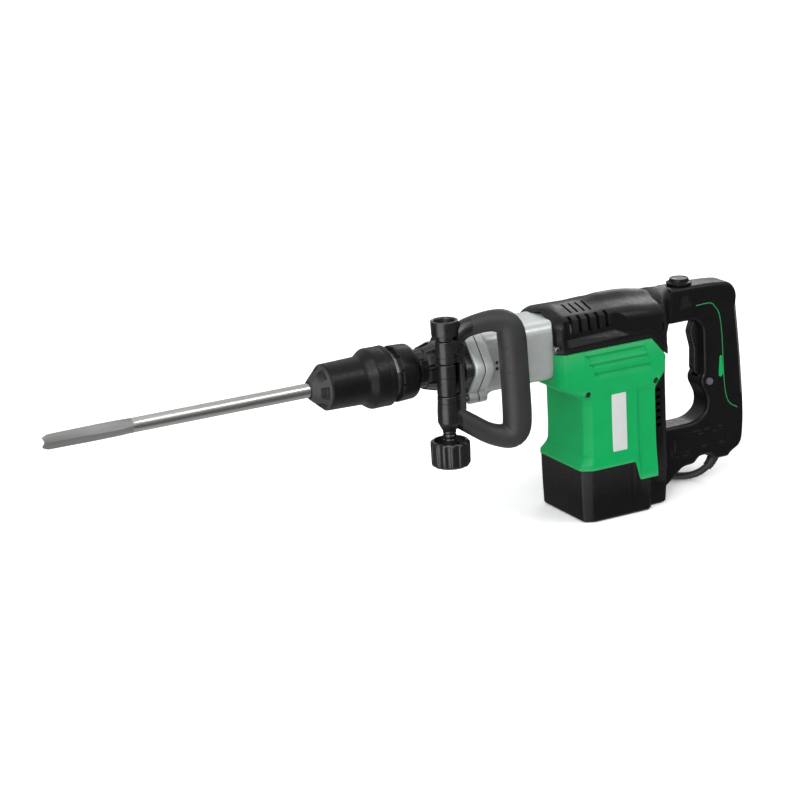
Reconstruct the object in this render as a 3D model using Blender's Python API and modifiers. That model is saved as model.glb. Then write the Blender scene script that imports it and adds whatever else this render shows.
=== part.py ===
"""Electric demolition hammer with a flat chisel, a D side handle and a rear switch handle.

Run with: blender --background --python part.py

The tool stands on the flat underside of its motor. X runs along the tool, with the chisel's tip at -X and the
rear handle at +X. Z is up, and the side handle is on the -Y side. All numbers below are millimetres, which the
helpers turn into metres.
"""

import math

import bmesh
import bpy
from mathutils import Matrix, Vector

MM = 0.001
GAP = 0.3  # between pieces that touch
WELD = 0.02  # merge distance for a profile's seam and a curve's caps

# ---------------------------------------------------------------- driving dimensions

AXIS_Z = 236.0  # height of the tool's axis above the base
SHANK_R = 9.0  # SDS-max shank
CHISEL_TIP_X = -777.0
CHISEL_END_X = -337.0
TIP_ROOT_X = -665.0

NOSE_X = -431.0
SLEEVE_X = (-410.5, -325.0)
RING_X = (-316.0, -285.3)
COVER_X = -285.0
FLANGE_X = -226.0  # front face of the aluminium flange plate
BARREL_X = (-211.9, -70.0)
LINER_R = (24.0, 27.0)

MOTOR_X = -8.0  # vertical motor axis
CRANK_X = -38.0  # vertical crank axis
CRANK_THROW = 18.0
ROD_LENGTH = 75.0
GEAR_MODULE = 1.5
GEAR_TEETH = 32
PINION_TEETH = 8
CRANK_PIN_X = CRANK_X - CRANK_THROW
WRIST_PIN_X = CRANK_PIN_X - ROD_LENGTH

BOLT_XY = (-266.7, -55.0)  # vertical clamp bolt of the side handle
SIDE_YAW = math.radians(-13.0)  # the D swings away from the barrel

BASE_FRONT_X = -75.0
BASE_HALF = 60.0
REAR_X = 65.0  # rear face of the casing, where the handle's arms leave
REAR_HALF = 47.0
STEP_X = (4.0, 12.0)  # where the base's rim steps down
RIM_Z = (72.0, 46.0)  # its height ahead of and behind the step
GREEN_REAR_X = 41.0
GREEN_TOP_Z = 233.0

HANDLE_HALF = 19.0
TRIGGER_PIVOT = (154.0, 229.0)
LOCK_BUTTON = (151.0, 145.5)
DIAL_X = 118.5
HANDLE_Z = 33.0  # underside of the handle, where the cord leaves
PAD_Z = (118.0, 246.0)  # rubber pad on the back of the grip
PAD_DEPTH = 4.0

CORD_R = 5.0
COIL_CENTRE = (70.0, 133.0)
COIL_R = 55.0
COIL_TURNS = 5.6
GLAND_ROUTE = [(170.0, 0.0, 34.4), (166.5, 0.5, 27.3), (162.8, 1.6, 21.4), (159.8, 2.8, 17.9)]
CORD_ROUTE = [  # down to the floor and along it to the coil
    (159.2, 3.1, 17.2),
    (152.4, 6.4, 11.6),
    (146.0, 10.0, 8.2),
    (140.0, 13.9, 6.2),
    (133.6, 18.3, 5.4),
    (114.0, 32.7, 5.4),
    (95.0, 46.6, 5.4),
    (76.0, 60.5, 5.4),
    (65.4, 68.2, 5.4),
]
COIL_TAIL = [  # from the coil's top turn up to the plug that lies on it
    (122.4, 149.7, 61.4),
    (124.4, 139.0, 63.5),
    (123.5, 128.0, 67.5),
    (119.8, 117.7, 72.0),
    (113.5, 108.7, 75.2),
]
PLUG_BACK = (113.1, 108.3, 75.5)
PLUG_HEADING = math.radians(227.8)

# ---------------------------------------------------------------- finishes: colour, roughness, metallic

GREEN = ((0.0, 0.36, 0.09), 0.38, 0.0)
BLACK = ((0.014, 0.014, 0.015), 0.45, 0.0)
RUBBER = ((0.03, 0.03, 0.031), 0.75, 0.0)
ALUMINIUM = ((0.52, 0.53, 0.53), 0.42, 1.0)
STEEL = ((0.42, 0.41, 0.4), 0.32, 1.0)
DARK_STEEL = ((0.16, 0.16, 0.165), 0.35, 1.0)
COPPER = ((0.55, 0.22, 0.09), 0.4, 1.0)
CARBON = ((0.02, 0.02, 0.02), 0.7, 0.0)
BRASS = ((0.6, 0.42, 0.14), 0.35, 1.0)


# ---------------------------------------------------------------- helpers


def clear_scene():
    for obj in list(bpy.data.objects):
        bpy.data.objects.remove(obj, do_unlink=True)


def new_collection(name):
    collection = bpy.data.collections.new(name)
    bpy.context.scene.collection.children.link(collection)
    return collection


def metres(point):
    return Vector(point) * MM


def paint(obj, finish):
    color, roughness, metallic = finish
    material = bpy.data.materials.new(obj.name)
    material.use_nodes = True
    shader = material.node_tree.nodes["Principled BSDF"]
    shader.inputs["Base Color"].default_value = (*color, 1.0)
    shader.inputs["Roughness"].default_value = roughness
    shader.inputs["Metallic"].default_value = metallic
    obj.data.materials.append(material)


def add(name, data, finish, origin=(0, 0, 0)):
    """Link a new object at its origin, in the hammer's collection, with a material of its own."""
    obj = bpy.data.objects.new(name, data)
    obj.location = metres(origin)
    HAMMER.objects.link(obj)
    paint(obj, finish)
    return obj


def smooth(obj, angle=32.0):
    obj.data.shade_smooth()
    obj.data.set_sharp_from_angle(angle=math.radians(angle))
    return obj


def from_bmesh(name, bm, finish, origin=(0, 0, 0)):
    """An object from a bmesh in world millimetres, with its faces turned outwards."""
    bmesh.ops.translate(bm, vec=-Vector(origin), verts=bm.verts)
    bmesh.ops.scale(bm, vec=(MM, MM, MM), verts=bm.verts)
    bmesh.ops.recalc_face_normals(bm, faces=bm.faces)
    mesh = bpy.data.meshes.new(name)
    bm.to_mesh(mesh)
    bm.free()
    return smooth(add(name, mesh, finish, origin))


def turned(name, finish, profile, origin, axis="X", steps=20):
    """A turned piece. The profile is (position along the axis, radius) pairs in order round its section."""
    along = "XYZ".index(axis)
    outline = [(radius, position - origin[along]) for position, radius in profile]
    area = sum(a[0] * b[1] - b[0] * a[1] for a, b in zip(outline, outline[1:] + outline[:1]))
    if area > 0:
        outline.reverse()
    count = len(outline)
    hollow = min(radius for radius, _ in outline) > 0
    edges = [(i, (i + 1) % count) for i in range(count if hollow else count - 1)]
    mesh = bpy.data.meshes.new(name)
    mesh.from_pydata([(r * MM, 0.0, z * MM) for r, z in outline], edges, [])
    obj = add(name, mesh, finish, origin)
    obj.rotation_euler = {"X": (0, math.pi / 2, 0), "Y": (-math.pi / 2, 0, 0), "Z": (0, 0, 0)}[axis]
    screw = obj.modifiers.new("turn", "SCREW")
    screw.steps = steps
    screw.render_steps = steps
    screw.use_merge_vertices = True
    screw.merge_threshold = WELD * MM
    screw.use_smooth_shade = True
    return obj


def curve_mesh(obj):
    """The curve object as a mesh object in the same place, its caps welded on."""
    bpy.context.view_layer.update()
    evaluated = obj.evaluated_get(bpy.context.evaluated_depsgraph_get())
    mesh = bpy.data.meshes.new_from_object(evaluated)
    bm = bmesh.new()
    bm.from_mesh(mesh)
    bmesh.ops.remove_doubles(bm, verts=bm.verts, dist=WELD * MM)
    bmesh.ops.recalc_face_normals(bm, faces=bm.faces)
    bm.to_mesh(mesh)
    bm.free()
    name = obj.name
    result = bpy.data.objects.new(name + "_mesh", mesh)
    HAMMER.objects.link(result)
    result.matrix_world = obj.matrix_world.copy()
    bpy.data.objects.remove(obj, do_unlink=True)
    result.name = name
    return smooth(result)


PLANES = {  # local x, y and z as world directions
    "XY": Matrix(((1, 0, 0), (0, 1, 0), (0, 0, 1))),
    "YZ": Matrix(((0, 0, 1), (1, 0, 0), (0, 1, 0))),
    "XZ": Matrix(((1, 0, 0), (0, 0, -1), (0, 1, 0))),
}


def prism(name, finish, outline, low, high, plane="XZ", holes=(), origin=(0, 0, 0)):
    """A flat outline with holes, in millimetres in its plane, and thick from low to high across it."""
    turn = PLANES[plane]
    across = turn.col[2]
    middle = (low + high) / 2 * (1 if sum(across) > 0 else -1)
    offset = turn.transposed() @ Vector(origin)
    curve = bpy.data.curves.new(name, "CURVE")
    curve.dimensions = "2D"
    curve.fill_mode = "BOTH"
    curve.extrude = (high - low) / 2 * MM
    for loop in [outline, *holes]:
        spline = curve.splines.new("POLY")
        spline.points.add(len(loop) - 1)
        spline.use_cyclic_u = True
        for point, (u, v) in zip(spline.points, loop):
            point.co = ((u - offset.x) * MM, (v - offset.y) * MM, 0, 1)
    obj = add(name, curve, finish, origin)
    obj.matrix_world = Matrix.Translation(metres(origin)) @ turn.to_4x4() @ Matrix.Translation(
        Vector((0, 0, (middle - offset.z) * MM))
    )
    obj = curve_mesh(obj)
    obj.data.transform(Matrix.Translation(Vector((0, 0, (middle - offset.z) * MM))))
    obj.matrix_world = Matrix.Translation(metres(origin)) @ turn.to_4x4()
    return obj


def tube(name, finish, points, radii, sides=2, cyclic=False, origin=(0, 0, 0)):
    """A round bar along a path; radii is one radius, or one for each point."""
    radii = radii if isinstance(radii, (list, tuple)) else [radii] * len(points)
    curve = bpy.data.curves.new(name, "CURVE")
    curve.dimensions = "3D"
    curve.bevel_depth = radii[0] * MM
    curve.bevel_resolution = sides
    curve.use_fill_caps = not cyclic
    spline = curve.splines.new("POLY")
    spline.points.add(len(points) - 1)
    spline.use_cyclic_u = cyclic
    for target, point, radius in zip(spline.points, points, radii):
        target.co = (*((Vector(point) - Vector(origin)) * MM), 1)
        target.radius = radius / radii[0]
    return add(name, curve, finish, origin)


def block(name, finish, low, high, bevel=0.0, origin=(0, 0, 0)):
    """A box between two corners, with its edges rounded."""
    bm = bmesh.new()
    bmesh.ops.create_cube(bm, size=1.0)
    low, high = Vector(low), Vector(high)
    bmesh.ops.scale(bm, vec=high - low, verts=bm.verts)
    bmesh.ops.translate(bm, vec=(low + high) / 2, verts=bm.verts)
    obj = from_bmesh(name, bm, finish, origin)
    if bevel:
        edge = obj.modifiers.new("edges", "BEVEL")
        edge.width = bevel * MM
        edge.segments = 2
    return obj


def cylinder(bm, centre, radius, low, high, axis="Z", steps=16):
    """Add a closed cylinder to a bmesh; centre is the two coordinates across the axis, in X, Y, Z order."""
    made = bmesh.ops.create_cone(
        bm, cap_ends=True, segments=steps, radius1=radius, radius2=radius, depth=high - low
    )
    turn = {"X": Matrix.Rotation(math.pi / 2, 4, "Y"), "Y": Matrix.Rotation(math.pi / 2, 4, "X")}
    place = list(centre)
    place.insert("XYZ".index(axis), (low + high) / 2)
    matrix = Matrix.Translation(place) @ turn.get(axis, Matrix())
    bmesh.ops.transform(bm, matrix=matrix, verts=made["verts"])


def box_into(bm, low, high):
    """Add a closed box to a bmesh."""
    made = bmesh.ops.create_cube(bm, size=1.0)
    low, high = Vector(low), Vector(high)
    bmesh.ops.scale(bm, vec=high - low, verts=made["verts"])
    bmesh.ops.translate(bm, vec=(low + high) / 2, verts=made["verts"])


def bridge(bm, rings, cyclic=True, caps=True):
    """Skin a row of rings of equal length; caps close its two ends."""
    rows = [[bm.verts.new(point) for point in ring] for ring in rings]
    count = len(rows[0])
    for lower, upper in zip(rows, rows[1:]):
        for i in range(count if cyclic else count - 1):
            j = (i + 1) % count
            bm.faces.new((lower[i], lower[j], upper[j], upper[i]))
    if caps and cyclic:
        bm.faces.new(rows[0])
        bm.faces.new(rows[-1])


def shell(obj, thickness):
    """Give an open skin its wall, inwards from the outer face."""
    wall = obj.modifiers.new("wall", "SOLIDIFY")
    wall.thickness = thickness * MM
    wall.offset = -1.0
    wall.use_even_offset = True
    return obj


def boolean(obj, other, operation, overlapping):
    """Cut or join with another object, which becomes a guide; overlapping is for crossing shapes in it."""
    HAMMER.objects.unlink(other)
    CUTTERS.objects.link(other)
    other.hide_render = True
    other.display_type = "WIRE"
    step = obj.modifiers.new(operation.lower(), "BOOLEAN")
    step.operation = operation
    step.object = other
    step.use_self = overlapping
    return obj


def cut(obj, cutter, overlapping=False):
    return boolean(obj, cutter, "DIFFERENCE", overlapping)


def join(obj, other):
    return boolean(obj, other, "UNION", False)


def rounded(corners, setback, steps=3):
    """A polygon with rounded corners; setback is how far a curve starts from its corner, one or a list."""
    count = len(corners)
    setbacks = setback if isinstance(setback, (list, tuple)) else [setback] * count
    outline = []
    for i, distance in enumerate(setbacks):
        corner = Vector(corners[i])
        if distance == 0:
            outline.append(tuple(corner))
            continue
        before = Vector(corners[i - 1]) - corner
        after = Vector(corners[(i + 1) % count]) - corner
        start = corner + before.normalized() * min(distance, before.length * 0.49)
        end = corner + after.normalized() * min(distance, after.length * 0.49)
        for k in range(steps + 1):
            t = k / steps
            outline.append(tuple(start * (1 - t) ** 2 + corner * 2 * t * (1 - t) + end * t * t))
    return outline


def circle(centre, radius, steps=20):
    x, y = centre
    angles = [math.tau * i / steps for i in range(steps)]
    return [(x + radius * math.cos(angle), y + radius * math.sin(angle)) for angle in angles]


def mirrored(points):
    """An outline's left half, x from -y, followed by its mirror image."""
    return points + [(x, -y) for x, y in reversed(points)]


def spline_points(points, spacing):
    """Points about a spacing apart on a smooth curve through the given ones (Catmull-Rom)."""
    points = [Vector(p) for p in points]
    ends = [points[0] * 2 - points[1], *points, points[-1] * 2 - points[-2]]
    result = []
    for a, b, c, d in zip(ends, ends[1:], ends[2:], ends[3:]):
        parts = max(1, round((c - b).length / spacing))
        for k in range(parts):
            t = k / parts
            square = (2 * a - 5 * b + 4 * c - d) * t**2
            cube = (3 * b - a - 3 * c + d) * t**3
            result.append(0.5 * (2 * b + (c - a) * t + square + cube))
    result.append(points[-1])
    return result


# ---------------------------------------------------------------- tool line, along X at AXIS_Z

TOOL_AXIS = (0.0, AXIS_Z)


def on_axis(x):
    return (x, 0.0, AXIS_Z)


def chisel():
    """Round shank behind, then a blade whose two ground faces meet in a ridge on each side."""
    sides = 20
    stations = [  # x, half thickness, half height, exponent: 2 is an ellipse, 1 a diamond
        (CHISEL_TIP_X, 2.4, 6.6, 1.7),
        (CHISEL_TIP_X + 6, 3.2, 9.6, 1.5),
        (CHISEL_TIP_X + 60, 6.0, 10.2, 1.35),
        (TIP_ROOT_X - 16, 8.2, 10.0, 1.5),
        (TIP_ROOT_X, SHANK_R, SHANK_R, 2.0),
        (CHISEL_END_X - 2, SHANK_R, SHANK_R, 2.0),
        (CHISEL_END_X, SHANK_R - 1.2, SHANK_R - 1.2, 2.0),
    ]
    bm = bmesh.new()
    rings = []
    for x, half_y, half_z, power in stations:
        ring = []
        for i in range(sides):
            angle = math.tau * i / sides
            c, s = math.cos(angle), math.sin(angle)
            y = math.copysign(abs(c) ** (2 / power), c) * half_y
            z = math.copysign(abs(s) ** (2 / power), s) * half_z
            ring.append((x, y, AXIS_Z + z))
        rings.append(ring)
    bridge(bm, rings)
    obj = from_bmesh("chisel", bm, STEEL, on_axis(CHISEL_END_X))
    pockets = bmesh.new()
    for side in (-1, 1):
        box_into(pockets, (-403, side * 9 - 2.8, AXIS_Z - 3), (-365, side * 9 + 2.8, AXIS_Z + 3))
    return cut(obj, from_bmesh("chisel_pockets", pockets, STEEL))


def lock_rollers():
    for side, name in ((-1, "left"), (1, "right")):
        profile = [(-401, 0), (-401, 2.6), (-388, 2.6), (-388, 0)]
        turned(f"lock_roller_{name}", DARK_STEEL, profile, (-394.5, side * 9.1, AXIS_Z), steps=12)


def dust_cap():
    profile = [
        (NOSE_X, 9.6),
        (NOSE_X, 11.5),
        (NOSE_X + 2, 13.5),
        (NOSE_X + 19, 28.4),
        (NOSE_X + 20, 29.2),
        (NOSE_X + 20, 17.4),
        (NOSE_X + 6.4, 15.2),
        (NOSE_X + 6.4, 9.6),
    ]
    cap = turned("dust_cap", RUBBER, profile, on_axis(NOSE_X), steps=24)
    recesses = bmesh.new()
    for i in range(6):
        angle = math.tau * (i + 0.5) / 6
        made = bmesh.ops.create_cube(recesses, size=1.0)
        bmesh.ops.scale(recesses, vec=(9, 6, 5), verts=made["verts"])
        lean = Matrix.Rotation(math.radians(-41), 4, "Y")
        place = Matrix.Translation(on_axis(NOSE_X + 12)) @ Matrix.Rotation(angle, 4, "X")
        place = place @ Matrix.Translation((0, 0, 23.5)) @ lean
        bmesh.ops.transform(recesses, matrix=place, verts=made["verts"])
    return cut(cap, from_bmesh("dust_cap_recesses", recesses, RUBBER))


def locking_sleeve():
    front, back = SLEEVE_X
    profile = [
        (front, 17.4),
        (front, 28.4),
        (front + 1, 29.3),
        (-362, 30.5),
        (-350.5, 38.5),
        (back - 1.5, 38.5),
        (back, 37.2),
        (back, 31.0),
        (-352, 31.0),
        (-356, 24.0),
        (-380, 24.0),
        (-380, 17.4),
    ]
    return turned("locking_sleeve", BLACK, profile, on_axis(front), steps=28)


def sleeve_spring():
    """Return spring between the sleeve's shoulder and the tool holder's flange."""
    low, high, radius, turns, per_turn = -377.8, -324.2, 20.5, 4, 9
    count = turns * per_turn
    points = []
    for i in range(count + 1):
        angle = math.tau * i / per_turn
        x = low + (high - low) * i / count
        points.append((x, radius * math.cos(angle), AXIS_Z + radius * math.sin(angle)))
    tube("sleeve_spring", STEEL, points, 1.4, sides=0, origin=on_axis(high))


def tool_holder():
    rear_x = -219.5
    profile = [
        (-424, 9.3),
        (-424, 14.2),
        (-412, 16.9),
        (-326, 17.0),
        (-322, 17.0),
        (-322, 30.0),
        (-316.3, 30.0),
        (-316.3, 22.0),
        (rear_x, 22.0),
        (rear_x, 15.3),
        (-322, 15.3),
        (-322, 9.3),
    ]
    holder = turned("tool_holder", DARK_STEEL, profile, on_axis(rear_x), steps=20)
    slots = bmesh.new()
    for side in (-1, 1):
        box_into(slots, (-401.4, side * 9.3 - 2.9, AXIS_Z - 2.9), (-387.6, side * 9.3 + 2.9, AXIS_Z + 2.9))
    return cut(holder, from_bmesh("roller_slots", slots, STEEL))


def index_ring():
    front, back = RING_X
    profile = [
        (front, 22.3),
        (front, 34.8),
        (front + 1.2, 36.0),
        (-292, 35.0),
        (back, 25.5),
        (back, 22.3),
    ]
    return turned("index_ring", BLACK, profile, on_axis(front), steps=28)


def impact_bolt():
    profile = [
        (-336.6, 0),
        (-336.6, 8.6),
        (-318, 8.9),
        (-318, 12.0),
        (-300, 15.0),
        (-262, 15.0),
        (-258, 9.0),
        (-238, 9.0),
        (-238, 0),
    ]
    return turned("impact_bolt", STEEL, profile, on_axis(-238), steps=20)


def striker():
    front, back, shoulder = -233, -182, -217.5
    nose = [(front, 0), (front, 8), (front + 2, 9), (shoulder - 0.5, 9)]
    profile = nose + [(shoulder, 22), (shoulder + 1.5, 23.7), (back, 23.7), (back, 0)]
    return turned("striker", STEEL, profile, on_axis(-218), steps=20)


def piston():
    """Cup open to the rear, with the wrist pin's bores through its skirt."""
    front, back = -156.0, -110.0
    profile = [
        (front, 0),
        (front, 22.7),
        (front + 1, 23.7),
        (back, 23.7),
        (back, 19.5),
        (front + 8, 19.5),
        (front + 8, 0),
    ]
    cup = turned("piston", ALUMINIUM, profile, on_axis(front), steps=20)
    bore = bmesh.new()
    cylinder(bore, (WRIST_PIN_X, 0), 5.3, AXIS_Z - 30, AXIS_Z + 30)
    return cut(cup, from_bmesh("piston_bore", bore, STEEL))


def wrist_pin():
    profile = [(AXIS_Z - 22.5, 0), (AXIS_Z - 22.5, 5), (AXIS_Z + 22.5, 5), (AXIS_Z + 22.5, 0)]
    return turned("wrist_pin", STEEL, profile, (WRIST_PIN_X, 0, AXIS_Z), axis="Z", steps=16)


def connecting_rod():
    small, big = 9.0, 13.0
    outline = []
    for i in range(9):
        angle = math.radians(40 + 280 * i / 8)
        outline.append((WRIST_PIN_X + small * math.cos(angle), small * math.sin(angle)))
    for i in range(11):
        angle = math.radians(-150 + 300 * i / 10)
        outline.append((CRANK_PIN_X + big * math.cos(angle), big * math.sin(angle)))
    holes = [circle((WRIST_PIN_X, 0), 5.3, 16), circle((CRANK_PIN_X, 0), 8.3, 16)]
    origin = (WRIST_PIN_X, 0, AXIS_Z)
    return prism("connecting_rod", STEEL, outline, AXIS_Z - 7, AXIS_Z + 7, "XY", holes, origin)


def crank_pin():
    profile = [(221.3, 0), (221.3, 8), (245.5, 8), (245.5, 0)]
    return turned("crank_pin", STEEL, profile, (CRANK_PIN_X, 0, 221.3), axis="Z", steps=16)


def crank_shaft():
    """Shaft in the gear plate, with the crank disc on top."""
    profile = [(172, 0), (172, 8), (212, 8), (212, 26), (221, 26), (221, 0)]
    return turned("crank_shaft", STEEL, profile, (CRANK_X, 0, 172), axis="Z", steps=20)


def gear_outline(teeth, centre, shift):
    """Straight-flanked teeth with side clearance, as root, flank, tip and flank of each."""
    pitch = GEAR_MODULE * teeth / 2
    tooth = math.tau / teeth
    steps = [(-0.34, -1.15), (-0.10, 0.9), (0.10, 0.9), (0.34, -1.15)]
    outline = []
    for i in range(teeth):
        for part, height in steps:
            angle = tooth * (i + shift + part)
            radius = pitch + height * GEAR_MODULE
            outline.append((centre + radius * math.cos(angle), radius * math.sin(angle)))
    return outline


def crank_gear():
    """Its tooth gap faces the pinion, along +X."""
    hole = circle((CRANK_X, 0), 8.3, 20)
    origin = (CRANK_X, 0, 197)
    outline = gear_outline(GEAR_TEETH, CRANK_X, 0.5)
    return prism("crank_gear", STEEL, outline, 197, 209, "XY", [hole], origin)


def front_cover():
    """Neck, collar and the seat that the side handle's strap grips, with a bolted flange behind."""
    profile = [
        (COVER_X, 22.4),
        (COVER_X, 25.0),
        (-274.6, 25.0),
        (-274, 27.0),
        (-258.2, 31.5),
        (-257, 31.5),
        (-257, 27.0),
        (-230, 27.0),
        (-230, 22.4),
    ]
    cover = turned("front_cover", BLACK, profile, on_axis(COVER_X), steps=28)
    outline = [(y * 0.94, AXIS_Z + z * 0.94) for y, z in hexagon()]
    holes = [circle(TOOL_AXIS, 22.4, 28)] + [circle((y, AXIS_Z + z), 3.3, 12) for y, z in SIDE_BOLTS]
    return join(cover, prism("front_cover_flange", BLACK, outline, -238, FLANGE_X - GAP, "YZ", holes))


# ---------------------------------------------------------------- barrel and its flange

SIDE_BOLTS = [(-46.0, 1.5), (46.0, 1.5)]  # across the tool axis
LOBE_BOLTS = [(-31.0, -41.1), (31.0, -41.1)]


def hexagon():
    """The flange's outline about the tool axis: a point on each side and a flat top and bottom."""
    corners = [(-58, 4.5), (-31, 38), (31, 38), (58, 4.5), (58, -4.5), (33, -38), (-33, -38), (-58, -4.5)]
    return rounded(corners, 3.0, 1)


def flange_lobes(name, finish, low, high):
    bm = bmesh.new()
    for y, z in LOBE_BOLTS:
        cylinder(bm, (y, AXIS_Z + z), 8.0, low, high, axis="X")
    return from_bmesh(name, bm, finish)


def flange_plate():
    outline = [(y, AXIS_Z + z) for y, z in hexagon()]
    plate = prism("flange_plate", ALUMINIUM, outline, FLANGE_X, -213.5, "YZ")
    join(plate, flange_lobes("flange_plate_lobes", ALUMINIUM, FLANGE_X, -213.5))
    return cut(plate, flange_bores("flange_plate_bores", -230, -210))


def flange_gasket():
    outline = [(y * 0.99, AXIS_Z + z * 0.99) for y, z in hexagon()]
    gasket = prism("flange_gasket", RUBBER, outline, -213.2, -212.2, "YZ")
    return cut(gasket, flange_bores("flange_gasket_bores", -214, -211))


def flange_bores(name, low, high):
    bm = bmesh.new()
    cylinder(bm, TOOL_AXIS, LINER_R[1] + GAP, low, high, axis="X", steps=24)
    for y, z in SIDE_BOLTS + LOBE_BOLTS:
        cylinder(bm, (y, AXIS_Z + z), 3.3, low, high, axis="X", steps=12)
    return from_bmesh(name, bm, STEEL)


def flange_bolts():
    """Socket-head bolts: the upper pair on the black flange, the lower pair on the plate's lobes."""
    names = ("left", "right", "lower_left", "lower_right")
    for (y, z), name in zip(SIDE_BOLTS + LOBE_BOLTS, names):
        face = FLANGE_X if name.startswith("lower") else -238.0
        profile = [(face - 5.5, 0), (face - 5.5, 5), (face - GAP, 5), (face - GAP, 3), (-201, 3), (-201, 0)]
        turned(f"flange_bolt_{name}", STEEL, profile, (face, y, AXIS_Z + z), steps=12)


def barrel_section():
    corners = [(-42, -39), (-42, 39), (42, 39), (42, -39)]
    return rounded(corners, 14.0, 3)


def barrel():
    """Rounded-square aluminium casting with a flange in front and a round bore."""
    low, high = BARREL_X
    outline = [(y, AXIS_Z + z) for y, z in barrel_section()]
    body = prism("barrel", ALUMINIUM, outline, -203, high, "YZ")
    flange = [(y, AXIS_Z + z) for y, z in hexagon()]
    join(body, prism("barrel_flange", ALUMINIUM, flange, low, -201, "YZ"))
    join(body, flange_lobes("barrel_lobes", ALUMINIUM, low, -196))
    bores = bmesh.new()
    cylinder(bores, TOOL_AXIS, LINER_R[1] + GAP, low - 2, high + 2, axis="X", steps=24)
    for y, z in SIDE_BOLTS + LOBE_BOLTS:
        cylinder(bores, (y, AXIS_Z + z), 3.3, low - 2, -200, axis="X", steps=12)
    return cut(body, from_bmesh("barrel_bores", bores, STEEL))


def cylinder_liner():
    inner, outer = LINER_R
    front, back = FLANGE_X + 0.5, BARREL_X[1] - 3
    profile = [(front, inner), (front, outer), (back, outer), (back, inner)]
    return turned("cylinder_liner", STEEL, profile, on_axis(front), steps=24)


# ---------------------------------------------------------------- motor, upright at MOTOR_X


def on_motor(z):
    return (MOTOR_X, 0.0, z)


def motor_turned(name, finish, profile, steps=18):
    return turned(name, finish, profile, on_motor(profile[0][0]), axis="Z", steps=steps)


def armature_shaft():
    """Shaft with the pinion cut on its top end."""
    profile = [(14, 0), (14, 5), (24.5, 5), (24.5, 6), (176, 6), (176, 5)]
    profile += [(194, 5), (194, 4.2), (198, 4.2), (198, 0)]
    shaft = motor_turned("armature_shaft", STEEL, profile, steps=16)
    return join(shaft, prism("pinion", STEEL, gear_outline(PINION_TEETH, MOTOR_X, 0.0), 196, 210, "XY"))


def armature_core():
    """Slotted laminations."""
    outline = []
    slots = 12
    for i in range(slots):
        for part, radius in ((0.0, 27), (0.33, 27.3), (0.66, 27), (0.72, 20), (0.94, 20)):
            angle = math.tau * (i + part) / slots
            outline.append((MOTOR_X + radius * math.cos(angle), radius * math.sin(angle)))
    hole = circle((MOTOR_X, 0), 6.3, 16)
    return prism("armature_core", DARK_STEEL, outline, 92, 146, "XY", [hole], on_motor(92))


def commutator():
    profile = [(54, 6.3), (54, 15), (74, 15), (74, 18), (77, 18), (77, 6.3)]
    return motor_turned("commutator", COPPER, profile)


def fan():
    """Disc with upright blades."""
    profile = [(156, 6.3), (156, 42), (158.4, 42), (158.4, 14), (170, 11), (170, 6.3)]
    disc = motor_turned("fan", BLACK, profile)
    blades = bmesh.new()
    for i in range(7):
        made = bmesh.ops.create_cube(blades, size=1.0)
        bmesh.ops.scale(blades, vec=(29, 2, 11), verts=made["verts"])
        place = Matrix.Translation(on_motor(162.5)) @ Matrix.Rotation(math.tau * i / 7, 4, "Z")
        place = place @ Matrix.Translation((26, 0, 0)) @ Matrix.Rotation(math.radians(12), 4, "Z")
        bmesh.ops.transform(blades, matrix=place, verts=made["verts"])
    return join(disc, from_bmesh("fan_blades", blades, BLACK))


def stator_core():
    """Laminated ring with a pocket before and behind each of its two poles."""
    bore = []
    for i in range(36):
        angle = math.tau * i / 36
        pole = abs(math.cos(angle)) > 0.62
        radius = 28.6 if pole or abs(math.cos(angle)) < 0.12 else 38.0
        bore.append((MOTOR_X + radius * math.cos(angle), radius * math.sin(angle)))
    ring = circle((MOTOR_X, 0), 44, 24)
    return prism("stator_core", DARK_STEEL, ring, 90, 148, "XY", [bore], on_motor(90))


def field_coils():
    """One wound loop round each pole, running down its pockets."""
    for side, name in ((-1, "front"), (1, "rear")):
        points = []
        for u, z in rounded([(-29, 84), (29, 84), (29, 152), (-29, 152)], 12, 3):
            reach = 33.0 if abs(u) < 22 else 15.0
            points.append((MOTOR_X + side * reach, u, z))
        tube(f"field_coil_{name}", COPPER, points, 3.2, sides=1, cyclic=True, origin=on_motor(119))


def brushes():
    """Carbon brushes in brass guides, one on each side of the commutator."""
    for side, name in ((-1, "left"), (1, "right")):
        outline = [(MOTOR_X - 7, 57), (MOTOR_X + 7, 57), (MOTOR_X + 7, 71), (MOTOR_X - 7, 71)]
        slot = [(MOTOR_X - 4.8, 59.2), (MOTOR_X + 4.8, 59.2), (MOTOR_X + 4.8, 68.8), (MOTOR_X - 4.8, 68.8)]
        low, high = sorted((side * 18.0, side * 42.0))
        prism(f"brush_holder_{name}", BRASS, outline, low, high, "XZ", [slot])
        low, high = sorted((side * 15.4, side * 33.0))
        block(f"carbon_brush_{name}", CARBON, (MOTOR_X - 4.5, low, 59.5), (MOTOR_X + 4.5, high, 68.5))


def motor_bearings():
    inner, outer, width = 5.3, 12.0, 9.4
    for name, z in (("lower", 14.6), ("upper", 176.3)):
        top = z + width
        race = [(z, outer - 1), (z + 0.8, outer), (top - 0.8, outer), (top, outer - 1)]
        profile = [(z, inner), *race, (top, inner)]
        motor_turned(f"motor_bearing_{name}", STEEL, profile, steps=20)


def gear_plate():
    """Aluminium deck between motor and gears, carrying the upper bearing and the crank shaft."""
    outline = rounded(mirrored([(-54, -44), (40.5, -44)]), 12)
    holes = [circle((MOTOR_X, 0), 12.3, 20), circle((CRANK_X, 0), 8.3, 20)]
    return prism("gear_plate", ALUMINIUM, outline, 176, 186, "XY", holes)


# ---------------------------------------------------------------- casings


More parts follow.
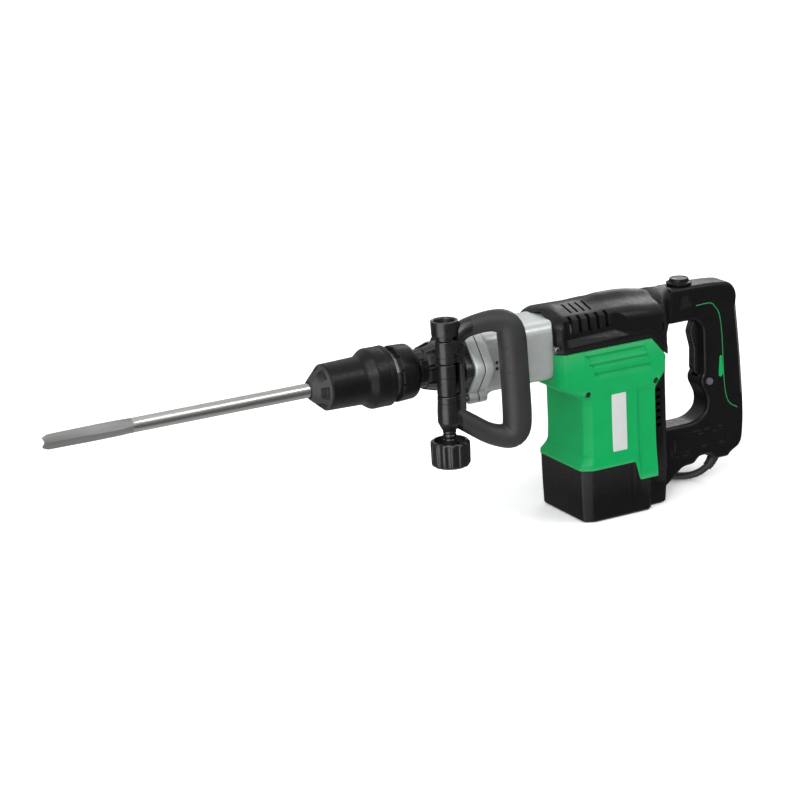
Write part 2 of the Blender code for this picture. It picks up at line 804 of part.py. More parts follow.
def rim_height(x, ahead, behind):
    """Height of an edge that steps down towards the rear."""
    if x <= STEP_X[0] + 0.1:
        return ahead
    return behind if x >= STEP_X[1] - 0.1 else (ahead + behind) / 2


def green_plan(front, back, half, front_setback, back_setback):
    """Plan of the green casing, with points where the rim steps."""
    corners = mirrored([(front, -half), (STEP_X[0], -half), (STEP_X[1], -half), (back, -half)])
    setbacks = [front_setback, 0, 0, back_setback, back_setback, 0, 0, front_setback]
    return rounded(corners, setbacks, 3)


def motor_housing():
    """Green casing: a flared skirt, an upright motor casing and a wider gear casing on top."""
    back = GREEN_REAR_X
    stations = [  # front, rear, half width, front and rear setbacks, height ahead of and behind the step
        (BASE_FRONT_X, back, BASE_HALF, 11, 6, RIM_Z[0], RIM_Z[1]),
        (BASE_FRONT_X, back, BASE_HALF, 11, 6, 78, 56),
        (-66, back, 57, 11, 6, 90, 90),
        (-65, back, 56.5, 11, 6, 168, 168),
        (-71, back + 3, 58.5, 11, 6, 174, 174),
        (-104, 55, 59.5, 10, 6, 188, 188),
        (-105, 58, 59.5, 10, 8, 208, 208),
        (-105, 36, 59, 10, 4, GREEN_TOP_Z, GREEN_TOP_Z),
    ]
    rings = []
    for front, rear, half, front_setback, rear_setback, ahead, behind in stations:
        plan = green_plan(front, rear, half, front_setback, rear_setback)
        rings.append([(x, y, rim_height(x, ahead, behind)) for x, y in plan])
    bm = bmesh.new()
    bridge(bm, rings, caps=False)
    housing = shell(from_bmesh("motor_housing", bm, GREEN), 3.0)
    openings = bmesh.new()
    box_into(openings, (-112, -42.6, AXIS_Z - 39.6), (-75, 42.6, AXIS_Z + 20))
    for i, (z, start, end) in enumerate(((224.5, -68, 25), (213, -62, 28), (200.5, -56, 33))):
        box_into(openings, (start, -64, z - 2.6), (end, -57.4, z + 2.6))
        box_into(openings, (start, 57.4, z - 2.6), (end, 64, z + 2.6))
    for x, z in HOUSING_SCREWS:
        cylinder(openings, (x, z), 4.3, -64, -42, axis="Y", steps=12)
    return cut(housing, from_bmesh("motor_housing_openings", openings, GREEN))


HOUSING_SCREWS = [(-64.0, 175.0), (40.0, 176.0)]


def housing_screws():
    for (x, z), name in zip(HOUSING_SCREWS, ("front", "rear")):
        profile = [(-56.5, 0), (-56.5, 3.9), (-53.5, 3.9), (-53.5, 2), (-44, 2), (-44, 0)]
        turned(f"housing_screw_{name}", DARK_STEEL, profile, (x, -56.5, z), axis="Y", steps=12)


def base_plan(inset):
    front, rear = BASE_FRONT_X + 1 + inset, REAR_X - 1 - inset
    half, narrow = BASE_HALF - 0.5 - inset, REAR_HALF - inset
    side = [(x, -half) for x in (front, *STEP_X, 27)] + [(36, -narrow), (rear, -narrow)]
    setbacks = [11, 0, 0, 8, 4, 8, 8, 4, 8, 0, 0, 11]
    return rounded(mirrored(side), setbacks, 3)


def motor_cover():
    """Black cup under the motor: a flat underside, a stepped rim and a seat for the lower bearing."""
    stations = [(5.0, 0.0, 0.0), (1.5, 3.0, 3.0), (0.5, 30.0, 30.0), (0.0, RIM_Z[0] - GAP, RIM_Z[1] - GAP)]
    rings = []
    for inset, ahead, behind in stations:
        rings.append([(x, y, rim_height(x, ahead, behind)) for x, y in base_plan(inset)])
    bm = bmesh.new()
    bridge(bm, rings, caps=False)
    bm.verts.ensure_lookup_table()
    bm.faces.new([bm.verts[i] for i in range(len(rings[0]))])
    cup = shell(from_bmesh("motor_cover", bm, BLACK), 3.5)
    seat = [(2.0, 12.3), (2.0, 16), (22, 15), (22, 12.3)]
    return join(cup, motor_turned("bearing_seat", BLACK, seat))


def rear_cover():
    """Black rear wall behind the green casing, with cooling slots on both sides."""
    rings = []
    for z, front in ((RIM_Z[1] + GAP, 44), (110, 44), (172, 45), (189, 56.5), (203, 58.8)):
        corners = [(front, -REAR_HALF), (REAR_X, -REAR_HALF), (REAR_X, REAR_HALF), (front, REAR_HALF)]
        rings.append([(x, y, z) for x, y in rounded(corners, [0, 7, 7, 0])])
    bm = bmesh.new()
    bridge(bm, rings, cyclic=False)
    wall = shell(from_bmesh("rear_cover", bm, BLACK), 3.0)
    slots = bmesh.new()
    for i in range(4):
        z = 102 + 17 * i
        box_into(slots, (46, -52, z), (56, -40, z + 10))
        box_into(slots, (46, 40, z), (56, 52, z + 10))
    return cut(wall, from_bmesh("rear_cover_slots", slots, BLACK))


def top_section(half, low, ledge, shoulder, crown):
    """Half of the upper casing's section, from its lower edge up to the middle of the top."""
    return [
        (-half, low),
        (-half, ledge),
        (-half + 5, ledge + 3),
        (-half + 7, shoulder - 14),
        (-half + 12, shoulder - 8),
        (-half + 20, shoulder - 5),
        (-half + 36, shoulder - 0.5),
        (0, crown),
    ]


def top_housing():
    """Black upper casing over the barrel's rear and the gears, narrowing to the handle."""
    stations = [  # x, half width, lower edge, ledge, shoulder, crown
        (-109, 52, 240, 246, 284, 285),
        (-102, 55, 234.5, 242.5, 284, 286),
        (-88, 56, GREEN_TOP_Z + GAP, 242, 284, 287),
        (-40, 56, GREEN_TOP_Z + GAP, 242, 283, 286.5),
        (-14, 56, GREEN_TOP_Z + GAP, 242, 284, 293),
        (20, 56, GREEN_TOP_Z + GAP, 242, 283, 293),
        (36.5, 56, GREEN_TOP_Z + GAP, 242, 281, 291),
        (58.5, 53, 210.5, 222, 279, 287),
        (66, 49, 205, 214, 276, 284),
    ]
    rings = []
    for x, half, low, ledge, shoulder, crown in stations:
        left = top_section(half, low, ledge, shoulder, crown)
        right = [(-y, z) for y, z in reversed(left[:-1])]
        rings.append([(x, y, z) for y, z in left + right])
    bm = bmesh.new()
    bridge(bm, rings, cyclic=False)
    casing = shell(from_bmesh("top_housing", bm, BLACK), 3.0)
    neck = bmesh.new()
    sections = [(61.5, 46, 207, 272), (66, 45, 206, 276), (76, 33, 222, 280.5), (92, 21, 235, 282.5)]
    rings = []
    for x, half, low, high in sections:
        outline = rounded([(-half, low), (half, low), (half, high), (-half, high)], [8, 8, 20, 20], 2)
        rings.append([(x, y, z) for y, z in outline])
    bridge(neck, rings)
    join(casing, from_bmesh("top_housing_neck", neck, BLACK))
    vents = bmesh.new()
    for i in range(5):
        x = -79 + 13 * i
        box_into(vents, (x - 2, -60, 254), (x + 2, -44, 276))
        box_into(vents, (x - 2, 44, 254), (x + 2, 60, 276))
    for i in range(4):
        x = -70 + 10 * i
        box_into(vents, (x - 1.5, -33, 270), (x + 1.5, -8, 296))
        box_into(vents, (x - 1.5, 8, 270), (x + 1.5, 33, 296))
    return cut(casing, from_bmesh("top_housing_vents", vents, BLACK))


# ---------------------------------------------------------------- rear handle


def handle_outer():
    """Side outline of the rear handle, with a recess for the pad on its back."""
    back = pad_line()
    points = [  # x, z, setback of the rounded corner
        (92.3, 281, 0),
        (160, 280, 12),
        (190, 277, 10),
        (201, 262, 10),
        (198.5, PAD_Z[1] + GAP, 0),
        (back[0][0] - PAD_DEPTH - GAP, PAD_Z[1] + GAP, 0),
        (back[1][0] - PAD_DEPTH - GAP, back[1][1], 0),
        (back[2][0] - PAD_DEPTH - GAP, PAD_Z[0] - GAP, 0),
        (207.6, PAD_Z[0] - GAP, 0),
        (208.5, 80, 16),
        (205, 47, 12),
        (186, 38, 3),
        (182, HANDLE_Z, 2),
        (160, HANDLE_Z, 2),
        (152, 42, 3),
        (135, 42, 3),
        (126, HANDLE_Z, 3),
        (108, 32, 4),
        (78, 8, 4),
        (REAR_X + GAP, 8, 0),
        (REAR_X + GAP, 110, 0),
        (74, 92, 8),
        (130, 92, 10),
        (148, 104, 10),
        (149, 122, 6),
        (139, 142, 3),
        (139, 151, 3),
        (144, 157, 0),
        (143, 233, 4),
        (92.3, 233, 0),
    ]
    return rounded([(x, z) for x, z, _ in points], [setback for _, _, setback in points], 2)


def pad_line():
    """Back of the grip, from the top of its pad to the bottom."""
    return [(198.5, PAD_Z[1]), (204.5, 175), (207.6, PAD_Z[0])]


def handle_half(name, side):
    """One clamshell half, hollow inside the grip and both arms."""
    edge = 0.15
    low, high = sorted((side * edge, side * HANDLE_HALF))
    half = prism(name, BLACK, handle_outer(), low, high, "XZ")
    pockets = bmesh.new()
    box_into(pockets, (154, -14.5, 116), (192, 14.5, 224))
    box_into(pockets, (96, -14.5, 240), (186, 14.5, 268))
    box_into(pockets, (74, -14.5, 52), (184, 14.5, 84))
    box_into(pockets, (130, -7.4, 151.5), (158, 7.4, 228))
    box_into(pockets, (134, -7.4, 224), (166, 7.4, 240.5))
    cylinder(pockets, (DIAL_X, 0), 14.4, 262, 286, steps=24)
    cylinder(pockets, (LOCK_BUTTON[0], LOCK_BUTTON[1]), 5.4, -22, 0, axis="Y", steps=16)
    return cut(half, from_bmesh(name + "_pockets", pockets, BLACK), overlapping=True)


def grip_pad():
    """Rubber back of the grip."""
    outer = pad_line()
    inner = [(x - PAD_DEPTH, z) for x, z in reversed(outer)]
    return prism("grip_pad", RUBBER, outer + inner, 0.5 - HANDLE_HALF, HANDLE_HALF - 0.5, "XZ")


def trigger():
    """Long finger lever, hinged at its top."""
    back = [(139, 236), (158, 236), (162, 226), (156, 216), (154, 153)]
    front = [(141, 153), (135, 162), (136, 190), (130, 214)]
    outline = rounded(back + front, 3.0, 2)
    x, z = TRIGGER_PIVOT
    return prism("trigger", BLACK, outline, -6.8, 6.8, "XZ", origin=(x, 0, z))


def lock_button():
    x, z = LOCK_BUTTON
    profile = [(-22.5, 0), (-22.5, 4), (-21.7, 5), (-11, 5), (-11, 0)]
    return turned("lock_button", RUBBER, profile, (x, -11, z), axis="Y", steps=16)


def speed_dial():
    """Two-tier dial on top of the handle."""
    profile = [(268.5, 0), (268.5, 6), (281.4, 6), (281.4, 16.5)]
    profile += [(284.5, 17.5), (285.5, 13.5), (290, 12.6), (290, 0)]
    return turned("speed_dial", BLACK, profile, (DIAL_X, 0, 281.4), axis="Z", steps=20)


def switch_body():
    return block("switch_body", BLACK, (162, -12, 160), (190, 12, 212), 1.5)


# ---------------------------------------------------------------- cord


def cable_gland():
    """Tapered strain relief on the cord's bend, cut flush with the handle's underside."""
    gland = curve_mesh(tube("cable_gland", RUBBER, GLAND_ROUTE, [8.0, 7.5, 7.0, 6.4], sides=2))
    top = bmesh.new()
    box_into(top, (155, -15, HANDLE_Z - GAP), (185, 15, HANDLE_Z + 15))
    return cut(gland, from_bmesh("cable_gland_top", top, RUBBER))


def cord():
    points = spline_points(CORD_ROUTE, 12.0)
    tube("cord", RUBBER, points, CORD_R, sides=2)


def cord_coil():
    """Outer shape of the coil, with the cord's end rising from its top turn."""
    x, y = COIL_CENTRE
    height = (COIL_TURNS + 1) * 2 * CORD_R
    inner, outer = COIL_R - CORD_R - GAP, COIL_R + CORD_R + GAP
    profile = [(GAP, inner), (GAP, outer), (height, outer), (height, inner)]
    coil = turned("cord_coil", RUBBER, profile, (x, y, 0), axis="Z", steps=32)
    tail = tube("cord_tail", RUBBER, spline_points(COIL_TAIL, 12.0), CORD_R, sides=2)
    return join(coil, curve_mesh(tail))


def plug():
    """Two-pin plug lying on the coil."""
    body = bmesh.new()
    box_into(body, (12, -14, -9), (46, 14, 9))
    pins = bmesh.new()
    for side in (-1, 1):
        cylinder(pins, (side * 9.5, 0), 2.4, 44, 65, axis="X", steps=10)
    neck = bmesh.new()
    cylinder(neck, (0, 0), 6.5, 2.2, 14, axis="X", steps=14)
    place = Matrix.Translation(PLUG_BACK) @ Matrix.Rotation(PLUG_HEADING, 4, "Z")
    for piece in (body, pins, neck):
        bmesh.ops.transform(piece, matrix=place, verts=piece.verts)
    obj = join(from_bmesh("plug", body, RUBBER), from_bmesh("plug_pins", pins, BRASS))
    return join(obj, from_bmesh("plug_neck", neck, RUBBER))


# ---------------------------------------------------------------- side handle, round the clamp bolt


def bolt_centred(name, finish, profile, steps=20):
    return turned(name, finish, profile, (*BOLT_XY, profile[0][0]), axis="Z", steps=steps)


def side_handle_band():
    """Clamp strap round the front cover, with two lugs on the bolt."""
    profile = [(-256.6, 27.3), (-256.6, 31.2), (-241, 31.2), (-241, 27.3)]
    band = turned("side_handle_band", BLACK, profile, on_axis(-256.6), steps=24)
    x, y = BOLT_XY
    angles = [math.radians(degrees) for degrees in range(100, 301, 20)]
    outline = [(x + 13 * math.cos(angle), y + 13 * math.sin(angle)) for angle in angles]
    outline += [(-252, -49), (-244.8, -41.8), (-244.8, -20), (-256.6, -20), (-256.6, -33.5), (-266, -40)]
    join(band, prism("band_lugs", BLACK, outline, 213.0, 253.4, "XY"))
    openings = bmesh.new()
    cylinder(openings, TOOL_AXIS, 27.3, -258, -240, axis="X", steps=24)
    cylinder(openings, BOLT_XY, 6.4, 205, 260)
    box_into(openings, (-285, -80, 236.4), (-235, -25, 237.0))
    return cut(band, from_bmesh("band_openings", openings, BLACK), overlapping=True)


def clamp_bolt():
    """Bolt with a large recessed head on top."""
    profile = [
        (122, 0),
        (122, 6),
        (284, 6),
        (284, 12.5),
        (290, 12.5),
        (290.5, 17),
        (309, 17.6),
        (309, 13),
        (298, 12),
        (298, 0),
    ]
    return bolt_centred("clamp_bolt", BLACK, profile)


def clamp_knob():
    """Fluted knob with a threaded neck."""
    x, y = BOLT_XY
    flutes = 13
    outline = []
    for i in range(flutes * 4):
        angle = math.tau * i / (flutes * 4)
        radius = 24.2 + 0.9 * math.cos(flutes * angle)
        outline.append((x + radius * math.cos(angle), y + radius * math.sin(angle)))
    bore = circle(BOLT_XY, 6.4, 16)
    knob = prism("clamp_knob", BLACK, outline, 121, 154, "XY", [bore], origin=(x, y, 121))
    cut(knob, bolt_centred("knob_groove", BLACK, [(149, 8.8), (149, 19), (157, 21), (157, 8.8)], steps=16))
    neck = [(148, 7), (148, 8.8), (167, 8.8), (167, 7)]
    return join(knob, bolt_centred("knob_neck", BLACK, neck, steps=16))


def side_handle_grip():
    """D handle: two eyes on the bolt with a web between them, two arms and a thick grip bar."""
    x, y = BOLT_XY
    path = [  # distance from the bolt, height, radius
        (6, 270, 11.5),
        (13, 286, 12.0),
        (24, 295.5, 12.3),
        (42, 299.5, 12.5),
        (60, 301.4, 13.2),
        (77, 299.5, 15.5),
        (84.5, 290, 17.6),
        (86, 276, 18.5),
        (87.6, 232, 18.5),
        (89, 170, 18.5),
        (87, 155, 17.8),
        (79, 149, 16.5),
        (64, 151, 14.2),
        (48, 158, 13.0),
        (32, 168.5, 13.0),
        (14, 181, 13.0),
        (4, 190, 11.5),
    ]
    direction = Vector((math.cos(SIDE_YAW), math.sin(SIDE_YAW)))
    points = [(x + u * direction.x, y + u * direction.y, z) for u, z, _ in path]
    radii = [radius for _, _, radius in path]
    grip = curve_mesh(tube("side_handle_grip", RUBBER, points, radii, sides=2, origin=(x, y, 0)))
    join(grip, bolt_centred("upper_eye", RUBBER, [(254, 3), (254, 13), (283.6, 13), (283.6, 3)]))
    eye = [(167.4, 3), (167.4, 9), (178, 14), (205, 13.4), (212.6, 13), (212.6, 3)]
    join(grip, bolt_centred("lower_eye", RUBBER, eye))
    web = bmesh.new()
    box_into(web, (17, -4, 198), (22.5, 4, 276))
    place = Matrix.Translation((x, y, 0)) @ Matrix.Rotation(SIDE_YAW, 4, "Z")
    bmesh.ops.transform(web, matrix=place, verts=web.verts)
    join(grip, from_bmesh("grip_web", web, RUBBER))
    openings = bmesh.new()
    cylinder(openings, BOLT_XY, 6.4, 150, 310)
    cylinder(openings, BOLT_XY, 13.6, 212.7, 253.7, steps=24)
    cylinder(openings, BOLT_XY, 13.6, 283.7, 320, steps=24)
    cylinder(openings, BOLT_XY, 18.1, 289.7, 320, steps=24)
    return cut(grip, from_bmesh("grip_openings", openings, RUBBER), overlapping=True)


# ---------------------------------------------------------------- assembly


def tool_line():
    chisel()
    lock_rollers()
    dust_cap()
    locking_sleeve()
    sleeve_spring()
    tool_holder()
    index_ring()
    impact_bolt()
    striker()
    piston()
    wrist_pin()
    connecting_rod()
    crank_pin()
    crank_shaft()
    crank_gear()
    front_cover()
    flange_plate()
    flange_gasket()
    flange_bolts()
    barrel()
    cylinder_liner()


def motor():
    armature_shaft()
    armature_core()
    commutator()
    fan()
    stator_core()
    field_coils()
    brushes()
    motor_bearings()
    gear_plate()


def casings():
    motor_housing()
    housing_screws()
    motor_cover()
    rear_cover()
    top_housing()


def rear_handle():
    handle_half("handle_left", -1)
    handle_half("handle_right", 1)
    grip_pad()
    trigger()
    lock_button()
    speed_dial()
    switch_body()


def supply_cord():
    cable_gland()
    cord()
    cord_coil()
    plug()


def side_handle():
    side_handle_band()
    clamp_bolt()
    clamp_knob()
    side_handle_grip()


clear_scene()
HAMMER = new_collection("demolition_hammer")
CUTTERS = new_collection("cutters")
tool_line()
motor()
casings()
rear_handle()
supply_cord()
side_handle()
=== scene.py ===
"""Looks of the electric demolition hammer: detailed pieces, materials, light and camera.

Every shape below is in millimetres, in the frame's axes. X runs along the tool with the chisel's tip at -X,
Z is up, and the side handle is on the -Y side. Meshes are turned into metres when they become objects.
"""

import math

import bmesh
import bpy
from mathutils import Matrix, Vector


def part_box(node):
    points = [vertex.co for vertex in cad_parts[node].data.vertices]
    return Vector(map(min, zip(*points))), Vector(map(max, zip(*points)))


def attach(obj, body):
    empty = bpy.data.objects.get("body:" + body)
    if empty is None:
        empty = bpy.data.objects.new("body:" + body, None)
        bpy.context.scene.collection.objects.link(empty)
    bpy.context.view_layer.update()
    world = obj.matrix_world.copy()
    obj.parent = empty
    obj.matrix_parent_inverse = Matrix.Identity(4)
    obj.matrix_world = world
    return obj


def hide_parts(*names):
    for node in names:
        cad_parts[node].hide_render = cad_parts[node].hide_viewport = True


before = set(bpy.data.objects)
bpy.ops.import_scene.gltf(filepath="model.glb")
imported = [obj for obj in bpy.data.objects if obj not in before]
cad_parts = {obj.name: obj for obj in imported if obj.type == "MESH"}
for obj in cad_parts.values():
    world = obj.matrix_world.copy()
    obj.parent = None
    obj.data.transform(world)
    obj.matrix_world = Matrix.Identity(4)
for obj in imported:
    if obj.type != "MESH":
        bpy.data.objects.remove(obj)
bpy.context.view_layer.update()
MM = 0.001

# ---------------------------------------------------------------- positions, from the frame


def span(node, axis):
    """A node's extent along an axis, in millimetres."""
    low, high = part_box(node)
    return low["XYZ".index(axis)] / MM, high["XYZ".index(axis)] / MM


def middle(node, axis):
    low, high = span(node, axis)
    return (low + high) / 2


AXIS_Z = middle("chisel", "Z")
BOLT = (middle("clamp_bolt", "X"), middle("clamp_bolt", "Y"))
MOTOR_X = middle("stator_core", "X")
BASE_FRONT, BASE_REAR = span("motor_cover", "X")
GREEN_TOP = span("motor_housing", "Z")[1]
DIAL_X = middle("speed_dial", "X")
SIDE_YAW = math.radians(-13.0)  # the side handle's D swings away from the barrel

CORD_R = 5.0
COIL_CENTRE = (70.0, 133.0)
COIL_R = 55.0
COIL_TURNS = 5.6
COIL_PITCH = 10.0
COIL_START = (233.8, 5.4)  # angle in degrees and height where the lead joins the coil
CORD_ROUTE = [  # out of the strain relief, down to the floor and along it
    (159.8, 2.8, 17.9), (159.2, 3.1, 17.2), (152.4, 6.4, 11.6), (146.0, 10.0, 8.2), (140.0, 13.9, 6.2),
    (133.6, 18.3, 5.4), (114.0, 32.7, 5.4), (95.0, 46.6, 5.4), (76.0, 60.5, 5.4), (57.0, 74.4, 5.4)
]
# from the coil's top turn up to the plug that lies on it
COIL_TAIL = [(124.4, 139.0, 63.5), (123.5, 128.0, 67.5), (119.8, 117.7, 72.0), (113.5, 108.7, 75.2)]
PLUG_BACK = (113.1, 108.3, 75.5)
PLUG_HEADING = math.radians(227.8)

# ---------------------------------------------------------------- mesh helpers

PLANES = {  # local x, y and z as world directions
    "XY": Matrix(((1, 0, 0), (0, 1, 0), (0, 0, 1))), "YZ": Matrix(((0, 0, 1), (1, 0, 0), (0, 1, 0))),
    "XZ": Matrix(((1, 0, 0), (0, 0, -1), (0, 1, 0)))
}
ACROSS = {"X": (1, 2), "Y": (2, 0), "Z": (0, 1)}


def linked(name, data):
    obj = bpy.data.objects.new(name, data)
    bpy.context.scene.collection.objects.link(obj)
    return obj


def to_object(name, bm, scale=MM):
    """A new object from a bmesh in millimetres, with its faces turned outwards."""
    bmesh.ops.recalc_face_normals(bm, faces=bm.faces)
    bmesh.ops.scale(bm, vec=(scale, scale, scale), verts=bm.verts)
    mesh = bpy.data.meshes.new(name)
    bm.to_mesh(mesh)
    bm.free()
    return linked(name, mesh)


def apply_modifiers(obj):
    bpy.context.view_layer.update()
    graph = bpy.context.evaluated_depsgraph_get()
    mesh = bpy.data.meshes.new_from_object(obj.evaluated_get(graph))
    obj.modifiers.clear()
    obj.data = mesh
    return obj


def gathered(name, *objects):
    """One object from several, with no joining of their surfaces."""
    bm = bmesh.new()
    for obj in objects:
        bm.from_mesh(obj.data)
        bpy.data.objects.remove(obj, do_unlink=True)
    return to_object(name, bm, 1.0)


def carve(obj, cutter, operation="DIFFERENCE"):
    """Cut, join or intersect with another object or bmesh, which is used up."""
    if isinstance(cutter, bmesh.types.BMesh):
        cutter = to_object("cutter", cutter)
    step = obj.modifiers.new("carve", "BOOLEAN")
    step.operation = operation
    step.object = cutter
    step.solver = "MANIFOLD"
    apply_modifiers(obj)
    bpy.data.objects.remove(cutter, do_unlink=True)
    return obj


def remould(obj, voxel, rounds, keep):
    """One skin round every solid in obj, with its edges softened as a moulding's are."""
    step = obj.modifiers.new("skin", "REMESH")
    step.mode = "VOXEL"
    step.voxel_size = voxel * MM
    soften = obj.modifiers.new("soften", "SMOOTH")
    soften.factor = 0.5
    soften.iterations = rounds
    thin = obj.modifiers.new("thin", "DECIMATE")
    thin.ratio = keep
    return apply_modifiers(obj)


def bevelled(obj, width, angle=40.0, segments=2):
    """Break the edges that are sharper than an angle."""
    step = obj.modifiers.new("edges", "BEVEL")
    step.width = width * MM
    step.segments = segments
    step.limit_method = "ANGLE"
    step.angle_limit = math.radians(angle)
    step.harden_normals = False
    return apply_modifiers(obj)


def fillet(points, setbacks, steps=4, closed=True):
    """Points with rounded corners, in any number of dimensions; a setback is where a curve starts."""
    points = [Vector(p) for p in points]
    count = len(points)
    if not isinstance(setbacks, (list, tuple)):
        setbacks = [setbacks] * count
    result = []
    for i, distance in enumerate(setbacks):
        corner = points[i]
        if distance == 0 or (not closed and i in (0, count - 1)):
            result.append(corner.copy())
            continue
        before = points[i - 1] - corner
        after = points[(i + 1) % count] - corner
        start = corner + before * min(distance / before.length, 0.49)
        end = corner + after * min(distance / after.length, 0.49)
        for k in range(steps + 1):
            t = k / steps
            result.append(start * (1 - t) ** 2 + corner * 2 * t * (1 - t) + end * t * t)
    return result


def smooth_path(points, spacing):
    """Points about a spacing apart on a smooth curve through the given ones (Catmull-Rom)."""
    points = [Vector(p) for p in points]
    ends = [points[0] * 2 - points[1], *points, points[-1] * 2 - points[-2]]
    result = []
    for a, b, c, d in zip(ends, ends[1:], ends[2:], ends[3:]):
        parts = max(1, round((c - b).length / spacing))
        for k in range(parts):
            t = k / parts
            square = (2 * a - 5 * b + 4 * c - d) * t**2
            cube = (3 * b - a - 3 * c + d) * t**3
            result.append(0.5 * (2 * b + (c - a) * t + square + cube))
    result.append(points[-1])
    return result


def ease(value, low, high):
    """0 below low, 1 above high, with a smooth rise between them."""
    t = min(max((value - low) / (high - low), 0.0), 1.0)
    return t * t * (3 - 2 * t)


def skin(bm, rings, caps=True, cyclic=True):
    """Faces between rings of equal length, with closed ends."""
    rows = [[bm.verts.new(point) for point in ring] for ring in rings]
    count = len(rows[0])
    for lower, upper in zip(rows, rows[1:]):
        for i in range(count if cyclic else count - 1):
            j = (i + 1) % count
            bm.faces.new((lower[i], lower[j], upper[j], upper[i]))
    if caps:
        bm.faces.new(rows[0])
        bm.faces.new(rows[-1])
    return rows


def shell(bm, outer, inner, cyclic=True, floor=False):
    """A wall between two skins. A floor closes the first ring of each, which makes a cup."""
    outside = skin(bm, outer, caps=False, cyclic=cyclic)
    inside = skin(bm, inner, caps=False, cyclic=cyclic)
    count = len(outside[0])
    for row, other in ((outside[0], inside[0]), (outside[-1], inside[-1])):
        if floor and row is outside[0]:
            bm.faces.new(row)
            bm.faces.new(other)
            continue
        for i in range(count if cyclic else count - 1):
            j = (i + 1) % count
            bm.faces.new((row[i], row[j], other[j], other[i]))
    if not cyclic:
        for i in (0, count - 1):
            for k in range(len(outside) - 1):
                bm.faces.new((outside[k][i], outside[k + 1][i], inside[k + 1][i], inside[k][i]))


def revolve(bm, profile, centre, axis="X", steps=96):
    """Turn (position, radius) points round an axis: a closed section, or a line that ends on the axis."""
    along = "XYZ".index(axis)
    u, v = ACROSS[axis]
    rows = []
    for position, radius in profile:
        row = []
        for i in range(steps if radius > 0 else 1):
            angle = math.tau * i / steps
            point = list(centre)
            point[along] = position
            point[u] += radius * math.cos(angle)
            point[v] += radius * math.sin(angle)
            row.append(bm.verts.new(point))
        rows.append(row)
    pairs = list(zip(rows, rows[1:]))
    if all(len(row) > 1 for row in rows):
        pairs.append((rows[-1], rows[0]))
    for a, b in pairs:
        for i in range(steps):
            j = (i + 1) % steps
            loop = [a[i % len(a)], a[j % len(a)], b[j % len(b)], b[i % len(b)]]
            corners = list(dict.fromkeys(loop))
            if len(corners) > 2:
                bm.faces.new(corners)


def formed(name, build, *args, **options):
    """A new object from one call of a helper that draws in a bmesh."""
    bm = bmesh.new()
    build(bm, *args, **options)
    return to_object(name, bm)


def turned(name, profile, centre, axis="X", steps=96):
    return formed(name, revolve, profile, centre, axis, steps)


def box(bm, low, high, matrix=None):
    made = bmesh.ops.create_cube(bm, size=1.0)
    low, high = Vector(low), Vector(high)
    bmesh.ops.scale(bm, vec=high - low, verts=made["verts"])
    bmesh.ops.translate(bm, vec=(low + high) / 2, verts=made["verts"])
    if matrix:
        bmesh.ops.transform(bm, matrix=matrix, verts=made["verts"])


def both_sides(near, far):
    """A band of Y on each side of the tool, as (low, high)."""
    return [(-far, -near), (near, far)]


def prism(bm, loop, low, high):
    """An outline of (x, z) points, thick from low to high along Y."""
    skin(bm, [[(x, y, z) for x, z in loop] for y in (low, high)])


def cylinder(bm, centre, radius, low, high, axis="Z", steps=48):
    """Centre is the two coordinates across the axis, in X, Y, Z order."""
    centre = list(centre)
    centre.insert("XYZ".index(axis), 0.0)
    revolve(bm, [(low, 0), (low, radius), (high, radius), (high, 0)], centre, axis, steps)


def sweep(bm, points, radii, sides=24):
    """A round bar along a path, with flat ends; radii is one radius, or one for each point."""
    points = [Vector(p[:3]) for p in points]
    radii = radii if isinstance(radii, (list, tuple)) else [radii] * len(points)
    side = None
    rings = []
    for i, (point, radius) in enumerate(zip(points, radii)):
        ahead = points[min(i + 1, len(points) - 1)] - points[max(i - 1, 0)]
        ahead.normalize()
        if side is None:
            side = ahead.orthogonal()
        side = (side - ahead * side.dot(ahead)).normalized()
        up = ahead.cross(side)
        ring = []
        for k in range(sides):
            angle = math.tau * k / sides
            ring.append(point + (side * math.cos(angle) + up * math.sin(angle)) * radius)
        rings.append(ring)
    skin(bm, rings)


def slab(name, outline, low, high, plane="XZ", edge=0.0, holes=(), rounds=3):
    """A flat outline, thick from low to high across its plane, with rounded edges."""
    turn = PLANES[plane]
    centre = (low + high) / 2 * (1 if sum(turn.col[2]) > 0 else -1)
    curve = bpy.data.curves.new(name, "CURVE")
    curve.dimensions = "2D"
    curve.fill_mode = "BOTH"
    curve.extrude = ((high - low) / 2 - edge) * MM
    curve.bevel_depth = edge * MM
    curve.offset = -edge * MM
    curve.bevel_resolution = rounds
    for loop in [outline, *holes]:
        spline = curve.splines.new("POLY")
        spline.points.add(len(loop) - 1)
        spline.use_cyclic_u = True
        for point, (a, b) in zip(spline.points, loop):
            point.co = (a * MM, b * MM, 0, 1)
    drawn = linked(name + "_outline", curve)
    bpy.context.view_layer.update()
    graph = bpy.context.evaluated_depsgraph_get()
    mesh = bpy.data.meshes.new_from_object(drawn.evaluated_get(graph))
    bpy.data.objects.remove(drawn, do_unlink=True)
    bm = bmesh.new()
    bm.from_mesh(mesh)
    bmesh.ops.remove_doubles(bm, verts=bm.verts, dist=0.01 * MM)
    place = turn.to_4x4() @ Matrix.Translation((0, 0, centre * MM))
    bmesh.ops.transform(bm, matrix=place, verts=bm.verts)
    return to_object(name, bm, 1.0)


def rectangle(low, high, setback=0.0, steps=4):
    corners = [low, (high[0], low[1]), high, (low[0], high[1])]
    return fillet(corners, setback, steps)


def circle(centre, radius, steps=40):
    x, y = centre
    angles = [math.tau * i / steps for i in range(steps)]
    return [(x + radius * math.cos(angle), y + radius * math.sin(angle)) for angle in angles]


def copy_of(obj, name):
    return linked(name, obj.data.copy())


